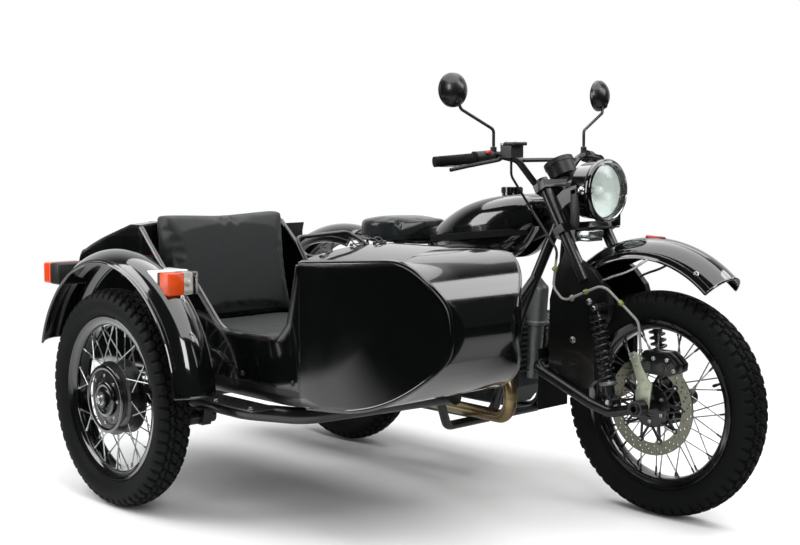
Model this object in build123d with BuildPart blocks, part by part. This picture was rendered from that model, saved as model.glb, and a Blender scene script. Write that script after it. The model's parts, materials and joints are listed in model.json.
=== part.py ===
from build123d import *
import os
from math import cos, radians, sin

# Sizes in mm. While modelling, X runs forward from the rear axle, Y left from the machine's centre
# plane and Z up from the ground. At the end all pieces move so that the origin is the bottom centre.

# Wheels
wheelbase = 1470.0
wheel_clear = 160.0
sidecar_lead = 225.0
tyre_radius = 343.0
tyre_width = 108.0
tyre_section = 102.0
rim_width = 76.0
flange_thick = 4.0
spoke_diameter = 4.2
spoke_count = 40
axle_radius = 10.0
running_gap = 0.2
seat_gap = 0.3

# Front end
rake = 30.0
head_back = 398.0
head_z = 920.0
fork_offset = 45.0
leg_y = 104.0
leg_radius = 19.0
stem_radius = 16.5
upper_clamp_s = 60.0
lower_clamp_s = -95.0
clamp_thick = 26.0
leg_top_s = 86.0
leg_bottom_s = -270.0
plate_thick = 24.0
plate_y = 98.0
link_y = 128.0
link_diameter = 32.0
link_lug = 18.0
link_back = 345.0
link_pivot_z = 398.0
shock_y = 140.0
front_guard_gap = 62.0
front_guard_back = 40.0
front_guard_z = 440.0
front_guard_half = 80.0
guard_drop = 60.0
guard_thick = 3.0
lamp_z = 982.0
lamp_ahead = 168.0
lamp_radius = 92.0
bar_diameter = 22.0
bar_half_width = 405.0
grip_radius = 16.5
mirror_radius = 53.0
mirror_dome = 27.0
mirror_turn = 8.0
disc_radius = 150.0
disc_y = 65.0
disc_thick = 5.0

# Engine and frame
tube_diameter = 34.0
engine_x = 830.0
crank_z = 470.0
engine_half_width = 372.0
engine_clear = 28.0
tank_top_z = 966.0
tank_bottom_z = 752.0
tank_front_x = 1008.0
tank_rear_x = 516.0
tank_half_width = 148.0
rear_guard_gap = 147.0
rear_guard_half = 88.0
rear_guard_drop = 66.0

# Sidecar
body_half = 290.0
nose_half = 180.0
nose_x = 1388.0
cowl_x = 930.0
deck_x = 110.0
tail_x = -470.0
floor_z = 372.0
wall = 6.0
cowl_edge_z = 800.0
cowl_crest_z = 838.0
deck_edge_z = 872.0
deck_crest_z = 890.0
left_rim_z = 742.0
rim_bends_right = (70.0, 110.0, 110.0, 40.0, 40.0)
rim_bends_left = (70.0, 40.0)
rolled_diameter = 18.0
riser_z = 430.0
seat_half = 226.0
back_half = 246.0
back_top_z = 912.0
step_rim_z = 722.0
entry_z = 570.0
rail_diameter = 50.0
side_guard_gap = 97.0
side_guard_half = 70.0
side_guard_x = 238.0
side_guard_z = 370.0
side_guard_drop = 40.0

# Places that follow from the sizes above
axle_z = 343.0  # while modelling; the finished part is set down on its tyres
bead_radius = tyre_radius - tyre_section
flange_radius = bead_radius + 16.0
rim_inner_radius = bead_radius - 13.0
head_x = wheelbase - head_back
lamp_front_x = head_x + lamp_ahead
link_pivot = (wheelbase - link_back, link_pivot_z)
front_guard_x = wheelbase - front_guard_back
front_guard_radius = tyre_radius + front_guard_gap
rear_guard_radius = tyre_radius + rear_guard_gap
side_guard_radius = tyre_radius + side_guard_gap
body_y = -(engine_half_width + engine_clear + body_half)
track = body_half - body_y + wheel_clear
right_y = body_y - body_half
left_y = body_y + body_half
side_guard_y = -track + 5.0
rail_out_y = right_y - 22.0
rail_in_y = left_y
arm_y = -track + 90.0
rail_z = floor_z - seat_gap - rail_diameter / 2
front_axle = (wheelbase, 0.0, axle_z)
rear_axle = (0.0, 0.0, axle_z)
side_axle = (sidecar_lead, -track, axle_z)

pieces = {}


def keep(name, part):
    part.label = name
    pieces[name] = part


def side_plane(y):
    return Plane(origin=(0, y, 0), x_dir=(1, 0, 0), z_dir=(0, -1, 0))


def steer_plane(s, forward=0.0):
    up = Vector(-sin(radians(rake)), 0, cos(radians(rake)))
    ahead = Vector(cos(radians(rake)), 0, sin(radians(rake)))
    origin = Vector(head_x, 0, head_z) + up * s + ahead * forward
    return Plane(origin=origin, x_dir=ahead, z_dir=up)


def tube(points, bend, diameter):
    # A bent tube added to the part being built.
    with BuildLine() as line:
        if len(points) > 2:
            FilletPolyline(*points, radius=bend)
        else:
            Line(*points)
    with BuildSketch(Plane(origin=line.line @ 0, z_dir=line.line % 0)) as end:
        Circle(diameter / 2)
    sweep(sections=end.sketch, path=line.line)


def pin(start, end, radius, mode=Mode.ADD):
    # A round bar from one point to another, in the part being built.
    run = Vector(*end) - Vector(*start)
    with BuildSketch(Plane(origin=start, z_dir=run)) as end_face:
        Circle(radius)
    extrude(end_face.sketch, amount=run.length, mode=mode)


def mirrored(points):
    return [(x, -y, z) for x, y, z in reversed(points)]


def turned(centre, outward, profile):
    # A turned wheel part about the axle: radius and distance out from the wheel's middle plane.
    with BuildPart() as part:
        with BuildSketch(Plane(origin=centre, x_dir=(1, 0, 0), z_dir=(0, 0, 1))):
            with BuildLine():
                Polyline(*[(r, outward * a) for r, a in profile], close=True)
            make_face()
        revolve(axis=Axis(centre, (0, 1, 0)))
    return part.part


def make_tyre(centre):
    bead = rim_width / 2 - flange_thick - seat_gap
    shoulder_r = tyre_radius - 14
    shoulder = tyre_width * 0.43
    wide_r = (flange_radius + shoulder_r) / 2
    wall_r = flange_radius + 2
    with BuildPart() as tyre:
        with BuildSketch(Plane(origin=centre, x_dir=(1, 0, 0), z_dir=(0, 0, 1))):
            with BuildLine():
                Polyline((wall_r, -bead), (bead_radius, -bead), (bead_radius, bead), (wall_r, bead))
                ThreePointArc((wall_r, bead), (wide_r, tyre_width / 2), (shoulder_r, shoulder))
                ThreePointArc((shoulder_r, shoulder), (tyre_radius, 0), (shoulder_r, -shoulder))
                ThreePointArc((shoulder_r, -shoulder), (wide_r, -tyre_width / 2), (wall_r, -bead))
            make_face()
        revolve(axis=Axis(centre, (0, 1, 0)))
    return tyre.part


def make_rim(centre):
    half = rim_width / 2
    seat = bead_radius - seat_gap
    web = half - flange_thick
    return turned(centre, 1, [
        (rim_inner_radius, -half + 14), (rim_inner_radius, half - 14), (rim_inner_radius + 8, half),
        (flange_radius, half), (flange_radius, web), (seat, web),
        (seat, -web), (flange_radius, -web), (flange_radius, -half), (rim_inner_radius + 8, -half),
    ])


def make_wire_rim(centre, hub_radius, hub_half, lean):
    # A rim with crossed spokes, alternating sides and lean, ends just clear of hub flange and rim.
    rim_half = 16.0
    start_r = hub_radius + seat_gap + spoke_diameter * 0.42
    end_r = rim_inner_radius - seat_gap - spoke_diameter * 0.15
    rim = make_rim(centre)
    with BuildPart() as spokes:
        add(rim)
        for i in range(spoke_count):
            side = 1 if i % 2 else -1
            turn = 360.0 * i / spoke_count
            tilt = lean if (i // 2) % 2 else -lean
            a = radians(turn + tilt)
            b = radians(turn)
            head = hub_half + (3.0 if tilt > 0 else -3.0)
            start = Vector(start_r * cos(a), side * head, start_r * sin(a)) + Vector(*centre)
            end = Vector(end_r * cos(b), side * rim_half, end_r * sin(b)) + Vector(*centre)
            pin(start, end, spoke_diameter / 2)
    return spokes.part


drum_radius = 116.0
drum_flange = 26.0
hub_bore = axle_radius + running_gap
front_hub_radius = 68.0
front_hub_half = 38.0

wheels = (("front", front_axle), ("rear", rear_axle), ("sidecar", side_axle))
for wheel_name, centre in wheels:
    keep(wheel_name + "_tyre", make_tyre(centre))

keep("front_rim", make_wire_rim(front_axle, front_hub_radius, front_hub_half, 32.0))
keep("rear_rim", make_wire_rim(rear_axle, drum_radius, drum_flange, 20.0))
keep("sidecar_rim", make_wire_rim(side_axle, drum_radius, drum_flange, 20.0))

front_hub = turned(front_axle, 1, [
    (hub_bore, -60), (hub_bore, 60), (26, 60), (26, 50), (34, 50), (34, 41),
    (front_hub_radius, 41), (front_hub_radius, 35), (34, 35), (34, -35),
    (front_hub_radius, -35), (front_hub_radius, -41), (46, -41), (46, -disc_y + disc_thick / 2 + seat_gap),
    (26, -disc_y + disc_thick / 2 + seat_gap), (26, -60),
])
keep("front_hub", front_hub)

drum_profile = [
    (hub_bore, -44), (hub_bore, 50), (24, 50), (30, 46), (56, 44), (82, 38), (88, 30), (88, 28),
    (drum_radius, 28), (drum_radius, 22), (98, 22), (98, -22), (drum_radius, -22), (drum_radius, -28),
    (40, -28), (30, -44),
]
keep("rear_hub", turned(rear_axle, -1, drum_profile))
keep("sidecar_hub", turned(side_axle, -1, drum_profile))

# Floating brake disc: ring, spider arms and carrier in one plate
disc_arms = 10
with BuildPart() as brake_disc:
    with BuildSketch(Plane(origin=(wheelbase, -disc_y, axle_z), x_dir=(1, 0, 0), z_dir=(0, -1, 0))):
        Circle(disc_radius)
        Circle(disc_radius - 38, mode=Mode.SUBTRACT)
        with PolarLocations(86, disc_arms):
            Rectangle(60, 11)
        Circle(62)
        Circle(36, mode=Mode.SUBTRACT)
    extrude(amount=disc_thick / 2, both=True)
keep("brake_disc", brake_disc.part)

# Steering head: two clamp plates on a stem
with BuildPart() as fork_clamps:
    for s in (upper_clamp_s, lower_clamp_s):
        with BuildSketch(steer_plane(s)):
            with BuildLine():
                wide = leg_y + 29
                Polyline(
                    (-26, -24), (24, -wide), (70, -wide), (70, wide), (24, wide), (-26, 24), close=True,
                )
            make_face()
        extrude(amount=clamp_thick / 2, both=True)
    with BuildSketch(steer_plane(lower_clamp_s)):
        Circle(stem_radius)
    extrude(amount=upper_clamp_s - lower_clamp_s)
    for side in (1, -1):
        with BuildSketch(steer_plane(leg_bottom_s, fork_offset)):
            with Locations((0, side * leg_y)):
                Circle(leg_radius + running_gap)
        extrude(amount=leg_top_s - leg_bottom_s + 40, mode=Mode.SUBTRACT)
keep("fork_clamps", fork_clamps.part)

# Fork legs: tube, boxed lower plate with pivot boss and shock boss, headlamp ear
plate_corners = (
    (-298, 796), (-190, 742), (-140, 690), (-122, 640), (-132, 600), (-180, 520), (-180, 400), (-208, 372),
    (-342, 366), (-362, 390), (-360, 640), (-328, 748),
)
plate_outline = [(wheelbase + x, z) for x, z in plate_corners]
shock_top = (wheelbase - 148.0, 632.0)
shock_foot = (wheelbase - 92.0, 352.0)
ear_front_x = head_x + 132.0
guard_bolt = (wheelbase - 284.0, 688.0)
with BuildPart() as fork_legs:
    for side in (1, -1):
        with BuildSketch(steer_plane(leg_bottom_s, fork_offset)):
            with Locations((0, side * leg_y)):
                Circle(leg_radius)
        extrude(amount=leg_top_s - leg_bottom_s)
        with BuildSketch(side_plane(side * plate_y)):
            with BuildLine():
                Polyline(*plate_outline, close=True)
            make_face()
        extrude(amount=plate_thick / 2, both=True)
        inner = side * (plate_y - plate_thick / 2)
        outer = side * (link_y - link_diameter / 2 - seat_gap)
        boss = (link_pivot[0], inner, link_pivot[1]), (link_pivot[0], outer, link_pivot[1])
        pin(*boss, 22)
        outer = side * (shock_y - 12 - seat_gap)
        pin((shock_top[0], inner, shock_top[1]), (shock_top[0], outer, shock_top[1]), 14)
        pin(*boss, 10 + running_gap, Mode.SUBTRACT)
        with BuildSketch(side_plane(side * (lamp_radius + 5 + seat_gap))):
            with BuildLine():
                Polyline(
                    (head_x + 54, 898), (head_x + 30, 944), (head_x + 78, 984),
                    (ear_front_x, 1002), (ear_front_x + 10, 968), (head_x + 88, 936), close=True,
                )
            make_face()
        extrude(amount=2.5, both=True)
        pin((ear_front_x - 8, side * 90.8, lamp_z), (ear_front_x - 8, side * (lamp_radius + 12), lamp_z), 9)
        bolt_in = side * (front_guard_half + seat_gap)
        pin((guard_bolt[0], bolt_in, guard_bolt[1]), (guard_bolt[0], side * plate_y, guard_bolt[1]), 11)
keep("fork_legs", fork_legs.part)

# Leading link: one tube looped round the back of the wheel, with its pins and the axle
loop_back = tyre_radius + 71.0
link_right = [
    (wheelbase, -link_y, axle_z), (wheelbase - 104, -link_y, 316),
    (wheelbase - 180, -link_y, 334), (wheelbase - loop_back, -link_y, 425),
]
with BuildPart() as leading_link:
    tube(link_right + mirrored(link_right), [70, 70, 46, 46, 70, 70], link_diameter)
    for side in (1, -1):
        inner = side * (link_y - link_lug)
        outer = side * (link_y + link_lug)
        ends = side * (plate_y - 12), side * link_y
        pin((link_pivot[0], ends[0], link_pivot[1]), (link_pivot[0], ends[1], link_pivot[1]), 10)
        pin((wheelbase, inner, axle_z), (wheelbase, outer, axle_z), 25)
        stud_end = side * (shock_y - 12 - seat_gap)
        pin((shock_foot[0], inner, shock_foot[1]), (shock_foot[0], stud_end, shock_foot[1]), 11)
        with BuildSketch(side_plane(side * (link_y - 11.5))):
            with BuildLine():
                Polyline(
                    (shock_foot[0] - 26, 316), (shock_foot[0] + 26, 316),
                    (shock_foot[0] + 10, 356), (shock_foot[0] - 10, 356), close=True,
                )
            make_face()
        extrude(amount=4.5, both=True)
    pin((wheelbase, -link_y - 24, axle_z), (wheelbase, link_y + 24, axle_z), axle_radius)
keep("leading_link", leading_link.part)


def make_shock(top, foot, eye_half, spring_radius, wire):
    # Damper with its coil as a stack of turns between two collars, eyes across at both ends.
    run = Vector(*foot) - Vector(*top)
    turns = 9
    coil_start = 36.0
    pitch = (run.length - coil_start - 62) / turns
    out = spring_radius + wire / 2
    core = spring_radius - wire / 2
    profile = [(0, 10), (9, 10), (9, 22), (out, 22)]
    for i in range(turns):
        at = coil_start + i * pitch
        profile += [(out, at), (core, at), (core, at + pitch - wire), (out, at + pitch - wire)]
    for radius, back in ((out, 52), (17, 52), (17, 20), (9, 20), (9, 8), (0, 8)):
        profile.append((radius, run.length - back))
    with BuildPart() as shock:
        with BuildSketch(Plane(origin=top, x_dir=(0, 1, 0), z_dir=Vector(0, 1, 0).cross(run))):
            with BuildLine():
                Polyline(*profile, close=True)
            make_face()
        revolve(axis=Axis(top, run))
        for eye in (top, foot):
            pin((eye[0], eye[1] - eye_half, eye[2]), (eye[0], eye[1] + eye_half, eye[2]), 13)
    return shock.part


def both(name, right, left):
    # A right and a left piece of one kind, kept as one piece of two solids.
    with BuildPart() as pair:
        add(right)
        add(left)
    keep(name, pair.part)


front_shock = []
for y in (-shock_y, shock_y):
    top = (shock_top[0], y, shock_top[1])
    foot = (shock_foot[0], y, shock_foot[1])
    front_shock.append(make_shock(top, foot, 12, 23, 7))
both("front_shocks", *front_shock)


def make_guard(centre, radius, half, drop, start, sweep_angle):
    # A mudguard of one arched section swept round the wheel, angles up from straight ahead.
    angle = radians(start)
    plane = Plane(origin=centre, x_dir=(cos(angle), 0, sin(angle)), z_dir=(-sin(angle), 0, cos(angle)))
    edge = radius - drop
    inner = half - guard_thick
    with BuildPart() as guard:
        with BuildSketch(plane):
            with BuildLine():
                ThreePointArc((edge, -half), (radius, 0), (edge, half))
                Line((edge, half), (edge, inner))
                ThreePointArc((edge, inner), (radius - guard_thick, 0), (edge, -inner))
                Line((edge, -inner), (edge, -half))
            make_face()
        revolve(axis=Axis(centre, (0, -1, 0)), revolution_arc=sweep_angle)
    return guard.part


front_guard_middle = (front_guard_x, 0, front_guard_z)
front_guard = make_guard(front_guard_middle, front_guard_radius, front_guard_half, guard_drop, 47, 128)
keep("front_mudguard", front_guard)

# Rubber flap hung at the front mudguard's rear end
flap_x = front_guard_x - front_guard_radius + 8.0
with BuildPart() as mud_flap:
    with BuildSketch(Plane.XZ):
        with Locations((flap_x, 368)):
            Rectangle(4, 200)
    extrude(amount=front_guard_half - 8, both=True)
    with BuildSketch(Plane.XZ):
        with Locations((flap_x, 476)):
            Rectangle(3, 24)
    extrude(amount=8, both=True)
keep("mud_flap", mud_flap.part)

# Headlamp shell, a turned cup, and its glass
# Columns: distance ahead of the lamp's front, distance out from its axis
shell_profile = (
    (-126, 0), (-123, 34), (-104, 68), (-68, 88), (-8, lamp_radius), (-4, 97),
    (10, 97), (10, 87), (-14, 84), (-60, 60), (-80, 0),
)
glass_profile = ((20, 0), (26, 0), (24, 32), (16, 62), (4, 86), (-1, 85), (-1, 80), (11, 58), (18, 30))
with BuildPart() as headlamp_shell:
    with BuildSketch(side_plane(0)):
        with BuildLine():
            Polyline(*[(lamp_front_x + x, lamp_z + out) for x, out in shell_profile], close=True)
        make_face()
    revolve(axis=Axis((0, 0, lamp_z), (1, 0, 0)))
keep("headlamp_shell", headlamp_shell.part)

with BuildPart() as headlamp_glass:
    with BuildSketch(side_plane(0)):
        with BuildLine():
            Polyline(*[(lamp_front_x + x, lamp_z + out) for x, out in glass_profile], close=True)
        make_face()
    revolve(axis=Axis((0, 0, lamp_z), (1, 0, 0)))
keep("headlamp_glass", headlamp_glass.part)

# Instrument pod above the upper clamp, on a short bracket
with BuildPart() as instrument_pod:
    with BuildSketch(steer_plane(upper_clamp_s + 28, 56)):
        Circle(44)
    extrude(amount=40, taper=-6)
    with BuildSketch(steer_plane(upper_clamp_s + 68, 56)):
        Circle(50)
    extrude(amount=16)
    with BuildSketch(steer_plane(upper_clamp_s + clamp_thick / 2 + seat_gap, 46)):
        Rectangle(30, 50)
    extrude(amount=20)
keep("instrument_pod", instrument_pod.part)

# Handlebar with cross brace and risers
bar_low = steer_plane(upper_clamp_s + 38, -15).origin
bar_rise = (head_x - 66.0, 150.0, 1080.0)
bar_knee = (head_x - 87.0, 205.0, 1092.0)
bar_tip = (head_x - 174.0, bar_half_width, 1075.0)
bar_left = [(bar_low.X, 62, bar_low.Z), bar_rise, bar_knee, bar_tip]
with BuildPart() as handlebar:
    tube(mirrored(bar_left) + bar_left, [24, 50, 40, 40, 50, 24], bar_diameter)
    brace = bar_rise[1] - 2
    pin((bar_rise[0], -brace, bar_rise[2] - 2), (bar_rise[0], brace, bar_rise[2] - 2), 7)
    for side in (1, -1):
        with BuildSketch(steer_plane(upper_clamp_s + clamp_thick / 2 + seat_gap, -15)):
            with Locations((0, side * 40)):
                Circle(15)
        extrude(amount=30)
keep("handlebar", handlebar.part)

bar_run = (Vector(*bar_tip) - Vector(*bar_knee)).normalized()


def on_bar(y, side):
    at = Vector(*bar_knee) + bar_run * ((y - bar_knee[1]) / bar_run.Y)
    return (at.X, side * at.Y, at.Z)


with BuildPart() as grips:
    for side in (1, -1):
        pin(on_bar(286, side), on_bar(bar_half_width + 6, side), grip_radius)
        pin(on_bar(284, side), on_bar(290, side), grip_radius + 5)
        bore = bar_diameter / 2 + running_gap
        pin(on_bar(280, side), on_bar(bar_half_width + 0.5, side), bore, Mode.SUBTRACT)
keep("grips", grips.part)

# Switch housings, levers and the brake master cylinder's box
perch_y = 224.0
with BuildPart() as controls:
    for side in (1, -1):
        pin(on_bar(232, side), on_bar(282, side), 21)
        pin(on_bar(perch_y - 8, side), on_bar(perch_y + 7, side), 16)
        root = Vector(*on_bar(perch_y, side))
        tip = Vector(*on_bar(396, side))
        lever = [
            (root.X + 8, root.Y, root.Z - 2), (root.X + 52, root.Y + side * 14, root.Z - 8),
            (tip.X + 62, tip.Y - side * 70, tip.Z - 14), (tip.X + 50, tip.Y, tip.Z - 26),
        ]
        tube(lever, [18, 60], 12)
        pin((root.X - 4, root.Y, root.Z), (root.X - 4, root.Y, root.Z + 30), 10)
    with BuildSketch(Plane(origin=(on_bar(205, -1)[0] + 48, -205, bar_knee[2] - 6))):
        Rectangle(46, 56)
    extrude(amount=40)
    perch_x = on_bar(perch_y, -1)[0]
    pin((perch_x + 2, -perch_y, bar_knee[2] + 4), (perch_x + 40, -perch_y, bar_knee[2] + 4), 10)
    for side in (1, -1):
        pin(on_bar(190, side), on_bar(300, side), bar_diameter / 2 + running_gap, Mode.SUBTRACT)
keep("controls", controls.part)

mirror_head = (head_x - 138.0, 362.0, 1296.0)


def make_mirror(side):
    post_root = on_bar(perch_y, 1)
    foot = Vector(post_root[0] - 4, post_root[1], post_root[2] + 30 + seat_gap)
    path = [
        (foot.X, side * foot.Y, foot.Z), (foot.X, side * foot.Y, foot.Z + 54),
        (foot.X - 20, side * (foot.Y + 126), foot.Z + 116),
        (mirror_head[0] + 10, side * mirror_head[1], mirror_head[2] - 20),
    ]
    facing = Vector(cos(radians(mirror_turn)), side * sin(radians(mirror_turn)), 0)
    middle = (mirror_head[0], side * mirror_head[1], mirror_head[2])
    with BuildPart() as mirror:
        tube(path, [16, 16], 10)
        with BuildSketch(Plane(origin=middle, x_dir=facing, z_dir=(0, 0, 1))):
            with BuildLine():
                Polyline((mirror_dome, 0), (-8, 0), (-8, mirror_radius), (0, mirror_radius))
                ThreePointArc((0, mirror_radius), (mirror_dome * 0.7, mirror_radius * 0.62), (mirror_dome, 0))
            make_face()
        revolve(axis=Axis(middle, facing))
    return mirror.part


both("mirrors", make_mirror(-1), make_mirror(1))

# Front brake caliper over the disc with its bracket down to the axle
# Columns: ahead of the axle, above it
caliper_out = link_y - link_lug - seat_gap
caliper_in = 42.0
caliper_corners = ((-18, 103), (90, 103), (96, 137), (76, 173), (0, 173), (-24, 143))
bracket_corners = ((-22, -11), (22, -11), (30, 37), (30, 127), (-20, 157), (-40, 137), (-34, 57))
with BuildPart() as brake_caliper:
    with BuildSketch(side_plane(-caliper_in)):
        with BuildLine():
            Polyline(*[(wheelbase + x, axle_z + z) for x, z in caliper_corners], close=True)
        make_face()
    extrude(amount=caliper_out - 6 - caliper_in)
    with BuildSketch(side_plane(0)):
        with Locations((wheelbase, axle_z)):
            Circle(disc_radius + 5)
    extrude(amount=disc_y + disc_thick / 2 + 5, mode=Mode.SUBTRACT)
    with BuildSketch(side_plane(-caliper_out)):
        with BuildLine():
            Polyline(*[(wheelbase + x, axle_z + z) for x, z in bracket_corners], close=True)
        make_face()
    extrude(amount=-6)
    pin((wheelbase, 0, axle_z), (wheelbase, -200, axle_z), hub_bore, Mode.SUBTRACT)
keep("brake_caliper", brake_caliper.part)

# Brake hose, held from the master cylinder down the fork to the caliper
hose_path = [
    (head_x - 46, -200, bar_knee[2] - 6 - seat_gap), (head_x - 46, -200, 1030), (head_x - 2, -150, 920),
    (head_x + 98, -146, 800), (head_x + 84, -148, 684), (head_x + 126, -148, 644),
    (wheelbase - 120, -146, 706), (wheelbase - 14, -112, 600),
    (wheelbase - 14, -100, axle_z + 173 + seat_gap),
]
with BuildPart() as brake_hose:
    tube(hose_path, [40, 60, 40, 34, 34, 44, 40], 8)
keep("brake_hose", brake_hose.part)

pivot_x = 385.0
rear_shock_top = (60.0, 690.0)
rear_shock_foot = (20.0, 368.0)
rear_shock_y = 165.0

# Frame: head tube and backbone, then a cradle loop each side with its cross tubes
head_low = steer_plane(lower_clamp_s + clamp_thick / 2 + 1.5)
head_length = upper_clamp_s - lower_clamp_s - clamp_thick - 3
with BuildPart() as main_frame:
    with BuildSketch(head_low):
        Circle(27)
    extrude(amount=head_length)
    tube([(head_x + 2, 0, 892), (860, 0, 800), (430, 0, 716)], 200, 50)
    for side in (1, -1):
        loop = [
            (head_x + 2, side * 22, 888), (head_x - 87, side * 95, 600),
            (902, side * 114, 330), (868, side * 116, 226),
            (pivot_x, side * 124, 226), (pivot_x, side * 124, 400), (316, side * 104, 700),
        ]
        tube(loop, [120, 200, 70, 60, 90], tube_diameter)
        tube([(560, side * 30, 726), (420, side * 100, 712), (-60, side * 112, 690)], 120, 28)
        stud_end = side * (rear_shock_y - 12 - seat_gap)
        top_x, top_z = rear_shock_top
        pin((top_x, side * 108, top_z), (top_x, stud_end, top_z), 11)
        guard_edge_z = axle_z + rear_guard_radius - rear_guard_drop
        pin((20, side * 108, 694), (20, side * (rear_guard_half - 1.5), guard_edge_z - 2.2), 5)
    for x, z in ((900, 818), (620, 762)):
        pin((x, -31 + seat_gap, z), (x, 31 - seat_gap, z), 10)
    for x, y, z in ((864, 112, 226), (430, 94, 712), (pivot_x + 14, 118, 228), (310, 100, 706)):
        pin((x, -y, z), (x, y, z), 13)
    with BuildSketch(steer_plane(lower_clamp_s - 40)):
        Circle(stem_radius + running_gap)
    extrude(amount=260, mode=Mode.SUBTRACT)
keep("main_frame", main_frame.part)

# Engine: closed crankcase and gearbox block, with sump and front cover
with BuildPart() as crankcase:
    with BuildSketch(side_plane(0)):
        with BuildLine():
            Polyline(
                (425, 300), (640, 262), (880, 262), (940, 330), (950, 560),
                (916, 640), (740, 640), (690, 590), (480, 590), (430, 520), close=True,
            )
        make_face()
    extrude(amount=64, both=True)
    with BuildSketch(side_plane(0)):
        with BuildLine():
            Polyline(
                (640, 300), (840, 300), (862, 360), (862, 560), (830, 600), (700, 600), (640, 540), close=True,
            )
        make_face()
    extrude(amount=130, both=True)
    for side in (1, -1):
        pin((engine_x, side * 100, crank_z), (engine_x, side * 140, crank_z), 62)
keep("crankcase", crankcase.part)

# Finned cylinders and heads, one each side
fin_count = 7
fin_pitch = 15.0
fin_thick = 5.0
barrel_in = 140.0 + seat_gap
head_in = 250.0
cylinder_pair = []
for side in (-1, 1):
    with BuildPart() as cylinder:
        pin((engine_x, side * barrel_in, crank_z), (engine_x, side * head_in, crank_z), 52)
        for i in range(fin_count):
            fin_y = barrel_in + 4 + i * fin_pitch
            with BuildSketch(side_plane(side * (fin_y + fin_thick / 2))):
                with Locations((engine_x, crank_z)):
                    RectangleRounded(136, 136, 44)
            extrude(amount=fin_thick / 2, both=True)
        with BuildSketch(side_plane(side * (head_in + 34))):
            with Locations((engine_x, crank_z)):
                RectangleRounded(130, 150, 22)
        extrude(amount=34.5, both=True)
        with BuildSketch(side_plane(side * (head_in + 68))):
            with Locations((engine_x, crank_z)):
                RectangleRounded(112, 140, 40)
        extrude(amount=-side * (engine_half_width - head_in - 68), taper=12)
    cylinder_pair.append(cylinder.part)
both("cylinders", *cylinder_pair)

# Carburettors on the heads' rear faces and the air box between them
with BuildPart() as carburettors:
    for side in (1, -1):
        y = side * 262
        pin((engine_x - 65 - seat_gap, y, 500), (engine_x - 130, y, 500), 20)
        pin((engine_x - 112, y, 452), (engine_x - 112, y, 560), 26)
        intake = [(engine_x - 128, y, 500), (610, y, 500), (560, side * 100, 620), (500, side * 80, 640)]
        tube(intake, [40, 40], 44)
    with BuildSketch(Plane.XY.offset(596)):
        with Locations((470, 0)):
            RectangleRounded(120, 200, 30)
    extrude(amount=84)
keep("carburettors", carburettors.part)

# Exhausts, a header and a silencer each side
exhaust_pair = []
for side in (-1, 1):
    with BuildPart() as exhaust:
        header = [
            (engine_x + 65 + seat_gap, side * 305, 430), (1120, side * 305, 430), (1120, side * 305, 286),
            (640, side * 196, 262), (330, side * 190, 262),
        ]
        tube(header, [64, 64, 200], 42)
        pin((340, side * 190, 262), (260, side * 190, 262), 34)
        pin((270, side * 190, 262), (-380, side * 190, 290), 48)
        pin((-370, side * 190, 290), (-440, side * 190, 293), 24)
    exhaust_pair.append(exhaust.part)
both("exhausts", *exhaust_pair)

# Fuel tank, lofted along its length; a row gives the share of the length, the share of the half width,
# the rise of the bottom, the drop of the top and the corner radius
tank_rows = (
    (0.0, 0.46, 0, 156, 24), (0.17, 0.76, 0, 100, 50), (0.35, 0.93, 0, 52, 74), (0.54, 1.0, 0, 20, 88),
    (0.72, 0.93, 0, 4, 90), (0.89, 0.74, 50, 2, 70), (1.0, 0.56, 112, 44, 24),
)
with BuildPart() as fuel_tank:
    for along, wide, rise, drop, corner in tank_rows:
        x = tank_rear_x + along * (tank_front_x - tank_rear_x)
        low = tank_bottom_z + rise
        high = tank_top_z - drop
        with BuildSketch(Plane(origin=(x, 0, (low + high) / 2), x_dir=(0, 1, 0), z_dir=(1, 0, 0))):
            RectangleRounded(2 * wide * tank_half_width, high - low, corner)
    loft()
    with BuildSketch(side_plane(0)):
        with BuildLine():
            Polyline((1100, 936), (860, 833), (400, 743), (400, 700), (1100, 700), close=True)
        make_face()
    extrude(amount=31, both=True, mode=Mode.SUBTRACT)
keep("fuel_tank", fuel_tank.part)

with BuildPart() as tank_cap:
    pin((850, 0, 950), (850, 0, 988), 34)
    add(fuel_tank.part, mode=Mode.SUBTRACT)
tank_cap_solid = tank_cap.part.solids().sort_by(Axis.Z)[-1]
keep("tank_cap", Part() + tank_cap_solid)

# Rider's saddle on its base
with BuildPart() as saddle:
    with BuildSketch(Plane.XY.offset(790)):
        with BuildLine():
            ThreePointArc((182, -90), (160, 0), (182, 90))
            ThreePointArc((182, 90), (250, 138), (360, 104))
            Line((360, 104), (488, 52))
            ThreePointArc((488, 52), (508, 0), (488, -52))
            Line((488, -52), (360, -104))
            ThreePointArc((360, -104), (250, -138), (182, -90))
        make_face()
    extrude(amount=78)
    fillet(saddle.faces().sort_by(Axis.Z)[-1].edges(), 22)
keep("saddle", saddle.part)

with BuildPart() as saddle_base:
    with BuildSketch(Plane.XY.offset(790 - seat_gap)):
        with Locations((330, 0)):
            RectangleRounded(300, 130, 40)
    extrude(amount=-10)
    for side in (1, -1):
        pin((240, side * 50, 784), (240, side * 50, 728), 20)
        pin((240, side * 50, 735), (240, side * 92, 722), 8)
    pin((470, 0, 784), (470, 0, 752), 14)
    add(main_frame.part, mode=Mode.SUBTRACT)
keep("saddle_base", Part() + saddle_base.part.solids().sort_by(SortBy.VOLUME)[-1])

keep("rear_mudguard", make_guard(rear_axle, rear_guard_radius, rear_guard_half, rear_guard_drop, 76, 98))

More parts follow.
